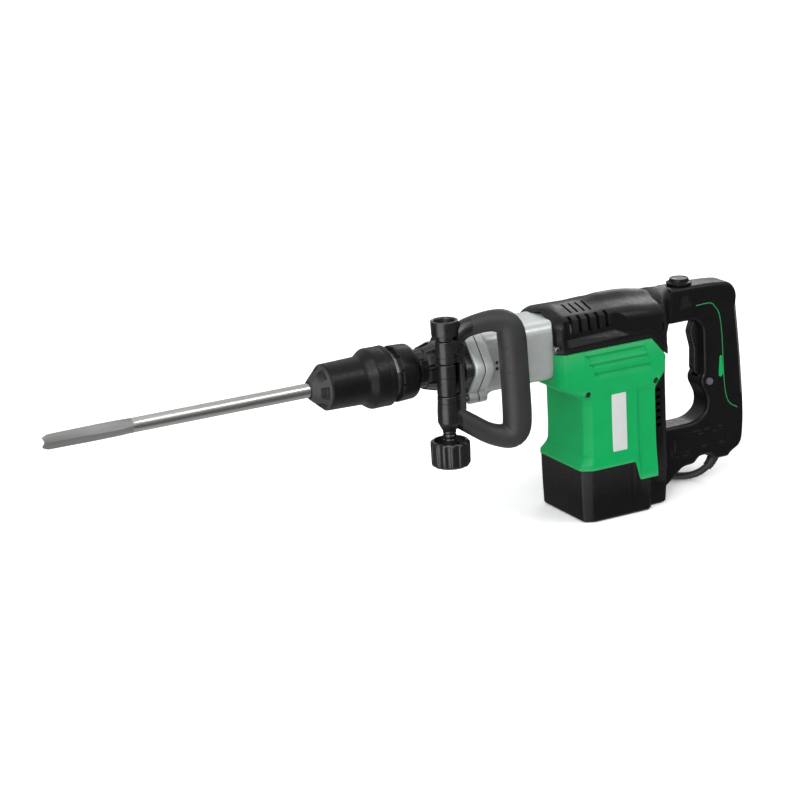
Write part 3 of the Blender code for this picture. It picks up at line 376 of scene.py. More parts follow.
def piece(obj, body, slot, material, *nodes, angle=35.0):
    """Finish a piece: its material, its shading, the body it moves with and the CAD nodes it stands for."""
    obj.data.materials.clear()
    for finish in material if isinstance(material, tuple) else (material,):
        obj.data.materials.append(finish)
    obj.data.shade_smooth()
    obj.data.set_sharp_from_angle(angle=math.radians(angle))
    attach(obj, body)
    if nodes:
        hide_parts(*nodes)
    return obj


# ---------------------------------------------------------------- materials


def linear(channels):
    """An sRGB colour, 0 to 255, as linear light."""
    return [((c / 255 + 0.055) / 1.055) ** 2.4 if c > 10 else c / 255 / 12.92 for c in channels]


def node(tree, kind, **sockets):
    """A shader node with some inputs set; an underscore stands for a space in a socket's name."""
    made = tree.nodes.new("ShaderNode" + kind)
    for socket, value in sockets.items():
        made.inputs[socket.replace("_", " ")].default_value = value
    return made


def finish(
    name, colour, roughness, metallic=0.0, grain=(900.0, 0.05), waves=(60.0, 0.02), spread=0.08,
    mottle=0.12, stretch=(1.0, 1.0, 1.0), wear=0.0, specular=0.5
):
    """A procedural surface.

    The colour is sRGB, 0 to 255. grain and waves are (scale per metre, height in mm) of two bumps. spread
    varies the roughness and mottle the colour, wear lightens the edges, and stretch draws the pattern out
    along an axis.
    """
    colour = linear(colour)
    material = bpy.data.materials.new(name)
    material.use_nodes = True
    tree = material.node_tree
    links = tree.links
    shader = tree.nodes["Principled BSDF"]
    shader.inputs["Metallic"].default_value = metallic
    shader.inputs["Specular IOR Level"].default_value = specular
    where = node(tree, "TexCoord")
    place = node(tree, "Mapping", Scale=stretch)
    links.new(where.outputs["Object"], place.inputs["Vector"])

    def noise(scale, detail):
        pattern = node(tree, "TexNoise", Scale=scale, Detail=detail)
        links.new(place.outputs["Vector"], pattern.inputs["Vector"])
        return pattern.outputs["Fac"]

    shades = node(tree, "ValToRGB")
    links.new(noise(35.0, 5.0), shades.inputs["Fac"])
    for stop, position, factor in zip(shades.color_ramp.elements, (0.3, 0.7), (1 - mottle, 1 + mottle)):
        stop.position = position
        stop.color = (*[min(c * factor, 1.0) for c in colour], 1.0)
    edges = node(tree, "NewGeometry")
    worn = node(tree, "MapRange", From_Min=0.52, From_Max=0.62, To_Max=wear)
    links.new(edges.outputs["Pointiness"], worn.inputs["Value"])
    rubbed = node(tree, "Mix")
    rubbed.data_type = "RGBA"
    rubbed.inputs["B"].default_value = (*[c * 0.6 + 0.3 for c in colour], 1.0)
    links.new(worn.outputs["Result"], rubbed.inputs["Factor"])
    links.new(shades.outputs["Color"], rubbed.inputs["A"])
    links.new(rubbed.outputs["Result"], shader.inputs["Base Color"])

    low, high = max(roughness - spread, 0.02), min(roughness + spread, 1.0)
    gloss = node(tree, "MapRange", From_Min=0.3, From_Max=0.7, To_Min=low, To_Max=high)
    links.new(noise(150.0, 6.0), gloss.inputs["Value"])
    links.new(gloss.outputs["Result"], shader.inputs["Roughness"])

    normal = None
    for scale, height in (waves, grain):
        bump = node(tree, "Bump", Strength=0.6, Distance=height * MM)
        links.new(noise(scale, 3.0), bump.inputs["Height"])
        if normal:
            links.new(normal, bump.inputs["Normal"])
        normal = bump.outputs["Normal"]
    links.new(normal, shader.inputs["Normal"])
    return material


ALONG_X = (0.15, 2.0, 2.0)  # stretches of the pattern for ground and drawn surfaces
ROUND_X = (6.0, 0.4, 0.4)
GREEN = finish("green_shell", (0, 138, 73), 0.36, grain=(1500, 0.03), mottle=0.04, wear=0.1, specular=0.15)
BLACK = finish(
    "black_moulding", (11, 11, 12), 0.34, grain=(1600, 0.03), wear=0.03, mottle=0.15, specular=0.18
)
DEEP_BLACK = finish("deep_black", (9, 9, 10), 0.5, grain=(1600, 0.05), mottle=0.1, specular=0.3)
HARD_BLACK = finish("hard_black", (12, 12, 13), 0.3, grain=(1300, 0.02), wear=0.04, mottle=0.1, specular=0.5)
RUBBER = finish("soft_rubber", (36, 36, 37), 0.5, grain=(2200, 0.06), spread=0.06, mottle=0.1, specular=0.35)
GREY_RUBBER = finish("grey_rubber", (66, 67, 68), 0.7, grain=(1900, 0.1), spread=0.06, mottle=0.1)
CORD_RUBBER = finish("lead_sheath", (26, 26, 26), 0.55, grain=(1500, 0.04), mottle=0.1)
CAST = finish(
    "cast_alloy", (176, 180, 179), 0.42, 0.55, grain=(1000, 0.06), waves=(90, 0.05), wear=0.2, mottle=0.06
)
STEEL = finish(
    "ground_steel", (176, 175, 172), 0.27, 1.0, grain=(800, 0.03), stretch=ALONG_X, mottle=0.16, wear=0.2
)
DARK_STEEL = finish(
    "dark_steel", (104, 104, 106), 0.36, 1.0, grain=(900, 0.04), stretch=ROUND_X, mottle=0.25, wear=0.3
)
BLADE = finish(
    "ground_blade", (118, 118, 117), 0.5, 0.7, grain=(700, 0.06), stretch=ALONG_X, mottle=0.12, wear=0.3
)
BLACK_STEEL = finish(
    "black_steel", (14, 14, 15), 0.3, grain=(1000, 0.02), mottle=0.1, wear=0.1, specular=0.5
)
COPPER = finish("copper_winding", (190, 110, 62), 0.38, 1.0, grain=(500, 0.3), mottle=0.2, wear=0.2)
CARBON = finish("brush_carbon", (38, 38, 40), 0.7, grain=(700, 0.1), mottle=0.3, wear=0.2)
BRASS = finish("brass", (200, 164, 84), 0.3, 1.0, grain=(900, 0.03), mottle=0.12, wear=0.3)
PLATE = finish("blank_plate", (186, 189, 187), 0.45, 0.2, grain=(700, 0.03), mottle=0.04)
ACCENT = finish("green_inlay", (8, 120, 62), 0.45, grain=(1500, 0.03), mottle=0.08)

# ---------------------------------------------------------------- camera

CAMERA_AZIMUTH = math.radians(-27.0)
CAMERA_ELEVATION = math.radians(16.0)
CAMERA_ROLL = math.radians(3.2)
CAMERA_DISTANCE = 3.0
CAMERA_TARGET = Vector((-0.316, 0.0, 0.236))
CAMERA_LENS = 108.0
CAMERA_SHIFT = (0.01125, -0.0325)


def camera():
    a, e, r = CAMERA_AZIMUTH, CAMERA_ELEVATION, CAMERA_ROLL
    back = Vector((math.sin(a) * math.cos(e), -math.cos(a) * math.cos(e), math.sin(e)))
    right = Vector((math.cos(a), math.sin(a), 0.0))
    up = back.cross(right)
    across = right * math.cos(r) - up * math.sin(r)
    upward = right * math.sin(r) + up * math.cos(r)
    data = bpy.data.cameras.new("camera")
    data.lens = CAMERA_LENS
    data.sensor_width = 36.0
    data.shift_x, data.shift_y = CAMERA_SHIFT
    data.clip_end = 200.0
    obj = linked("camera", data)
    turn = Matrix((across, upward, back)).transposed().to_4x4()
    obj.matrix_world = Matrix.Translation(CAMERA_TARGET + back * CAMERA_DISTANCE) @ turn
    bpy.context.scene.camera = obj


# ---------------------------------------------------------------- cord


def lead_route():
    """The whole lead: down to the floor, round the coil and up to the plug, on one smooth line."""
    points = smooth_path(CORD_ROUTE, 8.0)
    angle, height = COIL_START
    turn = 15.0
    count = round(COIL_TURNS * 360 / turn)
    for i in range(count + 1):
        around = math.radians(angle - turn * i)
        x = COIL_CENTRE[0] + COIL_R * math.cos(around)
        y = COIL_CENTRE[1] + COIL_R * math.sin(around)
        points.append(Vector((x, y, height + COIL_PITCH * COIL_TURNS * i / count)))
    points += smooth_path([points[-1], *COIL_TAIL], 10.0)[1:]
    points[-1] = Vector(PLUG_BACK) + Vector((math.cos(PLUG_HEADING), math.sin(PLUG_HEADING), 0)) * 2.0
    return points


def lead():
    curve = bpy.data.curves.new("lead", "CURVE")
    curve.dimensions = "3D"
    curve.bevel_depth = CORD_R * MM
    curve.bevel_resolution = 4
    curve.use_fill_caps = True
    points = lead_route()
    spline = curve.splines.new("POLY")
    spline.points.add(len(points) - 1)
    for target, point in zip(spline.points, points):
        target.co = (*(point * MM), 1)
    spline.use_smooth = True
    curve.materials.append(CORD_RUBBER)
    obj = linked("lead", curve)
    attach(obj, "hammer")
    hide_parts("cord", "cord_coil")
    return obj


def plug_place():
    return Matrix.Translation(PLUG_BACK) @ Matrix.Rotation(PLUG_HEADING, 4, "Z")


def plug():
    """Moulded plug with finger ribs and two pins."""
    bm = bmesh.new()
    sections = [
        (12, 7, 6.5), (16, 11.5, 8.2), (22, 13, 8.6), (38, 12.6, 8.6), (41, 13.8, 8.9), (46, 13.8, 8.9)
    ]
    rings = []
    for x, half_y, half_z in sections:
        outline = rectangle((-half_y, -half_z), (half_y, half_z), 5.5, 5)
        rings.append([(x, y, z) for y, z in outline])
    skin(bm, rings)
    revolve(
        bm, [(2.2, 0), (2.2, 5.6), (5, 6.4), (8, 5.8), (11, 6.5), (14, 6.5), (14, 0)], (0, 0, 0), steps=32
    )
    bmesh.ops.transform(bm, matrix=plug_place(), verts=bm.verts)
    body = remould(to_object("plug_body", bm), 0.7, 3, 0.5)
    ribs = bmesh.new()
    for i in range(4):
        x = 21.5 + 4.2 * i
        for low, high in both_sides(11.9, 15.0):
            box(ribs, (x, low, -6), (x + 1.8, high, 6), plug_place())
    carve(body, ribs)
    piece(body, "hammer", "cable_rubber", CORD_RUBBER, "plug")
    pins = bmesh.new()
    for side in (-1, 1):
        profile = [(46.3, 0), (46.3, 2.4), (63.2, 2.4), (64.4, 1.9), (65, 0.9), (65, 0)]
        revolve(pins, profile, (0, side * 9.5, 0), steps=24)
    bmesh.ops.transform(pins, matrix=plug_place(), verts=pins.verts)
    prongs = piece(to_object("plug_pins", pins), "hammer", "brass_parts", BRASS)
    return body, prongs


def coil_tie():
    """Flat strap round the coil's turns, on the side away from the plug."""
    angle = math.radians(120)
    inner, outer = COIL_R - CORD_R - 0.6, COIL_R + CORD_R + 0.6
    top = COIL_START[1] + COIL_PITCH * COIL_TURNS + CORD_R + 0.6
    loop = fillet([(inner, 0.35), (outer, 0.35), (outer, top), (inner, top)], 3.0, 5)
    bm = bmesh.new()
    rows = []
    for half, grow in ((-5, 0.0), (5, 0.0), (5, 1.0), (-5, 1.0)):
        row = []
        for r, z in loop:
            reach = grow * (1 if r > COIL_R else -1)
            low = max(z - 0.3 * grow, 0.03) if z < COIL_R else z + grow
            row.append(bm.verts.new((r + reach, half, low)))
        rows.append(row)
    count = len(loop)
    for a, b in zip(rows, rows[1:] + rows[:1]):
        for i in range(count):
            j = (i + 1) % count
            bm.faces.new((a[i], a[j], b[j], b[i]))
    place = Matrix.Translation((*COIL_CENTRE, 0)) @ Matrix.Rotation(angle, 4, "Z")
    bmesh.ops.transform(bm, matrix=place, verts=bm.verts)
    return piece(to_object("coil_tie", bm), "hammer", "cable_rubber", DEEP_BLACK)


def strain_relief():
    """Tapered gland, ribbed across its bend, cut flush with the handle's underside."""
    route = smooth_path(
        [(170.0, 0.0, 34.4), (166.5, 0.5, 27.3), (162.8, 1.6, 21.4), (159.8, 2.8, 17.9)], 0.7
    )
    radii = []
    for i in range(len(route)):
        share = i / (len(route) - 1)
        groove = 0.55 * max(0.0, math.sin(share * math.tau * 5)) if share > 0.25 else 0.0
        radii.append(8.0 - 1.6 * share - groove)
    gland = formed("strain_relief", sweep, route, radii, 40)
    carve(gland, formed("above", box, (150, -15, 32.7), (190, 15, 50)))
    return piece(gland, "hammer", "cable_rubber", CORD_RUBBER, "cable_gland")


def supply_cord():
    cable = lead()
    body, prongs = plug()
    tie = coil_tie()
    strain_relief()


# ---------------------------------------------------------------- tool line

TOOL_AXIS = (0.0, 0.0, AXIS_Z)
GROUND_LENGTH = 112.0  # how far from its tip the chisel is ground


def chisel():
    """Round shank behind, then a blade whose two ground faces meet in a ridge on each side."""
    tip, end = span("chisel", "X")
    stations = fillet(
        [  # x, half thickness, half height, exponent: 2 is an ellipse, 1 a diamond
            (tip, 2.4, 6.6, 1.5),
            (tip + 6, 3.4, 9.6, 1.12),
            (tip + 60, 6.6, 10.2, 1.08),
            (tip + 98, 8.6, 10.0, 1.12),
            (tip + 117, 9.0, 9.0, 2.0),
            (end - 1.5, 9.0, 9.0, 2.0),
            (end, 7.8, 7.8, 2.0),
        ],
        [0, 3, 14, 6, 5, 0, 0],
        5,
        closed=False,
    )
    sides = 72
    rings = []
    for x, half_y, half_z, power in stations:
        ring = []
        for i in range(sides):
            angle = math.tau * i / sides
            c, s = math.cos(angle), math.sin(angle)
            y = math.copysign(abs(c) ** (2 / power), c) * half_y
            z = math.copysign(abs(s) ** (2 / power), s) * half_z
            notch = 5.0 * max(0.0, 1 - abs(z) / 5.0) if x < tip + 0.1 else 0.0
            ring.append((x + notch, y, AXIS_Z + z))
        rings.append(ring)
    blade = formed("chisel_blade", skin, rings)
    pockets = bmesh.new()
    for side in (-1, 1):
        box(pockets, (-403, side * 9 - 2.8, AXIS_Z - 3), (-365, side * 9 + 2.8, AXIS_Z + 3))
    carve(blade, pockets)
    piece(blade, "chisel", "ground_steel", (STEEL, BLADE), "chisel", angle=20)
    for face in blade.data.polygons:
        if face.center.x / MM < tip + GROUND_LENGTH:
            face.material_index = 1


def sector(bm, x_range, r_range, angle, half, steps=10):
    """A block of a tube's wall round the tool's axis; angle and half are in degrees."""
    inner, outer = [], []
    for i in range(steps + 1):
        around = math.radians(angle + half * (2 * i / steps - 1))
        for ring, radius in ((inner, r_range[0]), (outer, r_range[1])):
            ring.append((radius * math.cos(around), AXIS_Z + radius * math.sin(around)))
    loop = outer + inner[::-1]
    skin(bm, [[(x, y, z) for y, z in loop] for x in x_range])


def dust_cap():
    """Rubber cone with six pockets between ribs."""
    front, back = span("dust_cap", "X")
    profile = fillet(
        [
            (front, 9.6), (front, 11.5), (front + 2, 13.5), (front + 19, 28.4), (back, 29.2), (back, 17.4),
            (front + 6.4, 15.2), (front + 6.4, 9.6)
        ],
        [0.5, 1.0, 1.2, 0.8, 0, 0, 0, 0.3]
    )
    cap = turned("dust_cone", profile, TOOL_AXIS, steps=120)
    pockets = bmesh.new()
    for i in range(6):
        sector(pockets, (front + 5.5, front + 16.8), (18.8, 34), 60 * i + 4, 20)
    carve(cap, bevelled(to_object("cone_pockets", pockets), 1.6, 50, 3))
    groove = [(back - 0.9, 28.3), (back - 0.9, 30), (back - 0.3, 30), (back - 0.3, 28.3)]
    carve(cap, turned("groove", groove, TOOL_AXIS))
    piece(cap, "tool_holder", "black_rubber", RUBBER, "dust_cap")


def locking_sleeve():
    front, back = span("locking_sleeve", "X")
    points = [
        (front, 17.4), (front, 28.2), (front + 1.2, 29.3), (-362, 30.5), (-350.5, 38.5), (back - 9.5, 38.2),
        (back - 8.5, 37.7), (back - 7.5, 38.2), (back - 1.2, 38.5), (back, 37.2), (back, 31.0),
        (-352, 31.0), (-356, 24.0), (-380, 24.0), (-380, 17.4)
    ]
    setbacks = [0.2, 0.6, 0.8, 4.0, 2.6, 0.3, 0.5, 0.3, 0.6, 0.5, 0, 0, 0, 0, 0]
    sleeve = turned("sleeve_shell", fillet(points, setbacks, 6), TOOL_AXIS, steps=144)
    piece(sleeve, "locking_sleeve", "black_plastic", BLACK, "locking_sleeve")


def index_ring():
    front, back = span("index_ring", "X")
    points = [
        (front, 22.3), (front, 34.6), (front + 1.4, 36.0), (front + 3.4, 36.0), (-292, 35.0), (back, 25.5),
        (back, 22.3)
    ]
    ring = turned("index_collar", fillet(points, [0, 0.3, 0.5, 0.8, 3.5, 1.0, 0], 6), TOOL_AXIS, steps=144)
    notches = bmesh.new()
    for i in range(12):
        sector(notches, (front - 1, front + 1.6), (33.2, 40), 30 * i + 10, 2.2, 3)
    carve(ring, notches)
    piece(ring, "tool_holder", "black_plastic", BLACK, "index_ring")


# ---------------------------------------------------------------- flange and barrel

SIDE_BOLTS = [(-46.0, 1.5), (46.0, 1.5)]  # across the tool axis
LOBE_BOLTS = [(-31.0, -41.1), (31.0, -41.1)]
LOBE_R = 8.0
SCREW_HOLE_R = 3.3
SPIGOT_R = 27.3  # opening for the cylinder liner's front end
PLUG_X = -187.0  # two small plugs on each side of the barrel, at these heights from the tool's axis
PLUG_HEIGHTS = (-7.0, 1.0)
ROUND = 288  # points round the flange and the barrel


def ray_polygon(outline, angle):
    """How far a ray from the axis goes to leave a star-shaped outline."""
    direction = Vector((math.cos(angle), math.sin(angle)))
    best = 0.0
    for a, b in zip(outline, outline[1:] + outline[:1]):
        side = b - a
        cross = direction.x * side.y - direction.y * side.x
        if abs(cross) < 1e-9:
            continue
        along = (a.x * side.y - a.y * side.x) / cross
        part = (a.x * direction.y - a.y * direction.x) / cross
        if along > 0 and -1e-6 <= part <= 1 + 1e-6:
            best = max(best, along)
    return best


def ray_circle(centre, radius, angle):
    along = centre[0] * math.cos(angle) + centre[1] * math.sin(angle)
    beside = centre[0] * math.sin(angle) - centre[1] * math.cos(angle)
    if abs(beside) >= radius or along < 0:
        return 0.0
    return along + math.sqrt(radius * radius - beside * beside)


def flange_reach(scale=1.0, lobes=True):
    """Radius at each angle of the flange: a point on each side, a flat top, and two lobes below."""
    corners = [(-58, 4.5), (-31, 38), (31, 38), (58, 4.5), (58, -4.5), (33, -38), (-33, -38), (-58, -4.5)]
    outline = [p * scale for p in fillet(corners, 5.0, 4)]
    result = []
    for i in range(ROUND):
        angle = math.tau * i / ROUND
        reach = ray_polygon(outline, angle)
        if lobes:
            reach = max([reach] + [ray_circle(centre, LOBE_R, angle) for centre in LOBE_BOLTS])
        result.append(reach)
    return result


def barrel_reach():
    outline = rectangle((-42, -39), (42, 39), 17.0, 6)
    return [ray_polygon(outline, math.tau * i / ROUND) for i in range(ROUND)]


def polar_ring(x, reach, inset=0.0):
    ring = []
    for i, radius in enumerate(reach):
        angle = math.tau * i / ROUND
        ring.append((x, (radius - inset) * math.cos(angle), AXIS_Z + (radius - inset) * math.sin(angle)))
    return ring


def plate_rings(reach, front, back, front_edge, back_edge):
    """Rings of a plate along X with its two edges rounded."""
    rings = []
    for x, edge, way in ((front, front_edge, 1), (back, back_edge, -1)):
        arc = []
        for k in range(5):
            angle = math.radians(90 * k / 4)
            arc.append(
                polar_ring(x + way * edge * (1 - math.sin(angle)), reach, edge * (1 - math.cos(angle)))
            )
        rings += arc[::-1] if way > 0 else arc
    return rings


def through(bores, radius, low, high):
    """A bore along the tool's axis and one for each flange bolt."""
    bm = bmesh.new()
    cylinder(bm, (0, AXIS_Z), radius, low, high, axis="X", steps=96)
    for y, z in bores:
        cylinder(bm, (y, AXIS_Z + z), SCREW_HOLE_R, low, high, axis="X", steps=24)
    return to_object("bores", bm)


def front_cover():
    """Neck, notched collar and strap seat, with a bolted flange behind."""
    front, back = span("front_cover", "X")
    points = [
        (front, 22.4), (front, 25.0), (-274.6, 25.0), (-274, 27.0), (-258.2, 31.5), (-257, 31.5),
        (-257, 27.0), (-236, 27.0), (-236, 22.4)
    ]
    cover = turned(
        "nose_cover", fillet(points, [0, 1.0, 0.3, 0.6, 0.6, 0.3, 0.4, 0, 0]), TOOL_AXIS, steps=120
    )
    notches = bmesh.new()
    for i in range(9):
        sector(notches, (-275, -261.5), (25.6, 36), 40 * i + 8, 8, 6)
    for i in range(18):
        sector(notches, (front - 1, -277), (24.3, 30), 20 * i, 3.5, 3)
    carve(cover, bevelled(to_object("collar_notches", notches), 0.5, 50))
    flange = formed("nose_flange", skin, plate_rings(flange_reach(0.94, lobes=False), -238, back, 2.2, 0.4))
    carve(flange, through(SIDE_BOLTS, 22.4, -245, -220))
    carve(cover, flange, "UNION")
    piece(cover, "hammer", "black_steel", BLACK_STEEL, "front_cover")


def flange_plate():
    """Cast plate behind the flange, and the seal between it and the barrel."""
    reach = flange_reach()
    plate = formed("flange_casting", skin, plate_rings(reach, *span("flange_plate", "X"), 2.0, 0.6))
    carve(plate, through(SIDE_BOLTS + LOBE_BOLTS, SPIGOT_R, -235, -205))
    piece(plate, "hammer", "cast_aluminium", CAST, "flange_plate")
    reach = [r * 0.99 for r in reach]
    seal = formed("flange_seal", skin, plate_rings(reach, *span("flange_gasket", "X"), 0.2, 0.2))
    carve(seal, through(SIDE_BOLTS + LOBE_BOLTS, SPIGOT_R, -220, -205))
    piece(seal, "hammer", "black_rubber", RUBBER, "flange_gasket")


def barrel():
    """Casting that runs from the bolted flange, through a fillet, to a rounded square."""
    front, back = span("barrel", "X")
    flange, square = flange_reach(), barrel_reach()
    rings = plate_rings(flange, front, -201, 0.6, 0.0)[:5] + [polar_ring(-202, flange)]
    for k in range(9):
        angle = math.radians(90 * k / 8)
        x = -201 + 13 * (1 - math.cos(angle))
        share = math.sin(angle)
        reach = [max(b, a * (1 - share) + b * share) for a, b in zip(flange, square)]
        rings.append(polar_ring(x, reach))
    rings += [polar_ring(x, square) for x in (-170, -140, -110, back)]
    body = formed("barrel_casting", skin, rings)
    carve(body, through([], SPIGOT_R, front - 2, back + 2))
    holes = bmesh.new()
    for y, z in SIDE_BOLTS + LOBE_BOLTS:
        cylinder(holes, (y, AXIS_Z + z), SCREW_HOLE_R, front - 2, -200.5, axis="X", steps=24)
    for z in PLUG_HEIGHTS:
        for low, high in ((-44, -40.5), (40.5, 44)):
            cylinder(holes, (PLUG_X, AXIS_Z + z), 2.4, low, high, axis="Y", steps=24)
    carve(body, holes)
    piece(body, "hammer", "cast_aluminium", CAST, "barrel")
    plugs = bmesh.new()
    for z in PLUG_HEIGHTS:
        for side in (-1, 1):
            tip = [
                (side * 40.6, 0), (side * 40.6, 2.1), (side * 41.9, 1.9), (side * 42.3, 1.0),
                (side * 42.4, 0)
            ]
            revolve(plugs, tip, (PLUG_X, 0, AXIS_Z + z), axis="Y", steps=24)
    piece(to_object("barrel_plugs", plugs), "hammer", "black_rubber", RUBBER)


def flange_bolts():
    """Socket-head screws: the upper pair on the black flange, the lower pair on the plate's lobes."""
    names = ("left", "right", "lower_left", "lower_right")
    for (y, z), name in zip(SIDE_BOLTS + LOBE_BOLTS, names):
        node = f"flange_bolt_{name}"
        front, back = span(node, "X")
        seat = front + 5.2
        head = [(front, 0), (front, 4.4), (front + 0.6, 5.0), (seat - 0.3, 5.0), (seat, 4.7)]
        bolt = turned(
            f"cap_screw_{name}", head + [(seat, 3), (back, 3), (back, 0)], (0, y, AXIS_Z + z), steps=48
        )
        socket = formed("socket", cylinder, (y, AXIS_Z + z), 3.0, front - 1, front + 3, axis="X", steps=6)
        carve(bolt, socket)
        piece(bolt, "hammer", "ground_steel", DARK_STEEL, node)


# ---------------------------------------------------------------- casings

WALL = 3.0
STEP_X = (3.5, 12.5)  # where the base's rim steps down
RIM = (72.0, 46.0)  # its height ahead of and behind the step
EVEN_X = [float(x) for x in range(-7, 15)]  # close points over the groove, the ridge and the step


def step_height(x, ahead, behind):
    return ahead + (behind - ahead) * ease(x, *STEP_X)


def side_points(start, end):
    """X positions along a casing's side, close together over its details."""
    before = [start + (EVEN_X[0] - start) * k / 14 for k in range(1, 14)]
    after = [EVEN_X[-1] + (end - EVEN_X[-1]) * k / 12 for k in range(1, 12)]
    return before + EVEN_X + after


def front_corner(front, half, depth, width):
    """Half of the front face, then the flat that cuts its corner by a depth along X and a width along Y."""
    path = [(front, 0), (front, width - half), (front + depth, -half), (front + depth + 40, -half)]
    return fillet(path, 3.0, 5, closed=False)[:-1]


def ridge_offset(x, z):
    """How far the green casing's side stands proud: a rounded ridge with a sunken band behind it."""
    ridge = 1.3 * math.exp(-(((x - 8.0) / 3.4) ** 4))
    band = -1.1 * ease(x, 12.5, 14.0) * (1 - ease(x, 37.0, 39.0))
    step = step_height(x, RIM[0], RIM[1])
    return (ridge + band) * ease(z, step + 4, step + 12) * (1 - ease(z, 164, 174))


def housing_ring(station, inset):
    front, rear, half, depth, width, rear_cut, ahead, behind = station
    front, rear, half = front + inset, rear - inset, half - inset
    rear_cut = max(rear_cut - inset, 1.0)
    plan = front_corner(front, half, depth - inset * 0.6, width - inset * 0.6)
    plan += [(x, -half) for x in side_points(plan[-1][0], rear - rear_cut)]
    corner = [(rear - rear_cut - 1, -half), (rear, -half), (rear, 0)]
    plan += fillet(corner, rear_cut, 4, closed=False)[1:]
    ring = []
    for x, y in plan:
        z = step_height(x, ahead, behind)
        ring.append((x, y - (ridge_offset(x, z) if y < 5 - half else 0.0), z))
    return ring + [(x, -y, z) for x, y, z in reversed(ring[1:-1])]


def motor_housing():
    """Green casing: a flared skirt, an upright motor casing and a wider gear casing on top."""
    front, back = BASE_FRONT - 1.0, 41.0
    stations = [  # front, rear, half width, corner cuts (two in front, one behind), heights at the step
        (front, back, 60, 14, 9.5, 6, RIM[0] + 0.1, RIM[1] + 0.1), (front, back, 60, 14, 9.5, 6, 78, 56),
        (-66.5, back, 57, 9, 13.5, 6, 90, 86), (-65.4, back, 56.5, 8.6, 13.5, 6, 110, 108),
        (-65.4, back, 56.5, 8.6, 13.5, 6, 166, 166), (-72, back + 3, 58.5, 9, 12, 6, 172, 172),
        (-104, 55, 59.5, 9, 11, 6, 187, 187), (-105, 58, 59.5, 9, 11, 8, 208, 208),
        (-105, 36, 59, 9, 11, 4, GREEN_TOP, GREEN_TOP)
    ]
    smooth = fillet(stations, [0, 3, 7, 0, 6, 4, 5, 6, 0], 5, closed=False)
    outer, inner = ([housing_ring(s, inset) for s in smooth] for inset in (0.0, WALL))
    housing = formed("green_casing", shell, outer, inner)
    mouth = rectangle((-42.6, AXIS_Z - 39.6), (42.6, AXIS_Z + 40), 17.4, 6)
    carve(housing, slab("mouth", mouth, -112, -75, "YZ"))
    louvres = bmesh.new()
    for z, start, end in ((223.5, -68, 25), (211.5, -62, 29), (199.0, -56, 33)):
        mouth = [(start, z + 3.8), (start + 8, z - 3.8), (end + 1, z - 3.8), (end, z + 3.8)]
        floor = [(start + 4, z + 3.0), (start + 8, z - 0.4), (end - 3, z - 0.4), (end - 3, z + 3.0)]
        for side in (-1, 1):
            depths = ((64, mouth), (59.0, mouth), (57.0, floor))
            skin(
                louvres,
                [[(x, side * reach, v) for x, v in fillet(loop, 1.4, 3)] for reach, loop in depths]
            )
    carve(housing, louvres)
    holes = bmesh.new()
    for x, z in ((-64.0, 175.0), (40.0, 176.0)):
        cylinder(holes, (x, z), 4.3, -64, -42, axis="Y")
    carve(housing, holes)
    piece(housing, "hammer", "green_plastic", GREEN, "motor_housing", angle=24)


def housing_screws():
    """Pan heads with a cross recess."""
    for node in ("housing_screw_front", "housing_screw_rear"):
        x, z = middle(node, "X"), middle(node, "Z")
        low, high = span(node, "Y")
        profile = [(low, 0), (low, 2.2), (low + 0.5, 3.3), (low + 1.6, 3.9), (low + 3, 3.9), (low + 3, 2)]
        screw = turned(node + "_head", profile + [(high, 2), (high, 0)], (x, 0, z), axis="Y", steps=40)
        for angle in (40, 130):
            place = Matrix.Translation((x, low, z)) @ Matrix.Rotation(math.radians(angle), 4, "Y")
            carve(screw, formed("cross_slot", box, (-2.4, -1, -0.45), (2.4, 1.6, 0.45), place))
        piece(screw, "hammer", "dark_steel", DARK_STEEL, node)


def blank_plates():
    """Light plate with no marking on each side of the motor casing."""
    outline = rectangle((-28, 91), (-6, 169), 2.0, 4)
    for side, name in ((-1, "left"), (1, "right")):
        low, high = sorted((side * 56.0, side * 57.5))
        plate = slab(f"blank_plate_{name}", outline, low, high, edge=0.35, rounds=2)
        piece(plate, "hammer", "cast_aluminium", PLATE)


def base_ring(inset, ahead, behind):
    front, rear = BASE_FRONT + inset, BASE_REAR - inset
    half, narrow = 59.5 - inset, 47 - inset
    plan = front_corner(front, half, 14 - 0.6 * inset, 9.5 - 0.6 * inset)
    plan += [(x, -half) for x in side_points(plan[-1][0], 19)]
    rest = [(19, -half), (27, -half), (36, -narrow), (rear, -narrow), (rear, 0)]
    plan += fillet(rest, [0, 7, 4, 8, 0], 4, closed=False)
    ring = []
    for x, y in plan:
        z = step_height(x, ahead, behind)
        groove = 1.3 * math.exp(-((x / 3.6) ** 6)) * ease(z, 6, 12) if y < 5 - half else 0.0
        ring.append((x, y + groove, z))
    return ring + [(x, -y, z) for x, y, z in reversed(ring[1:-1])]


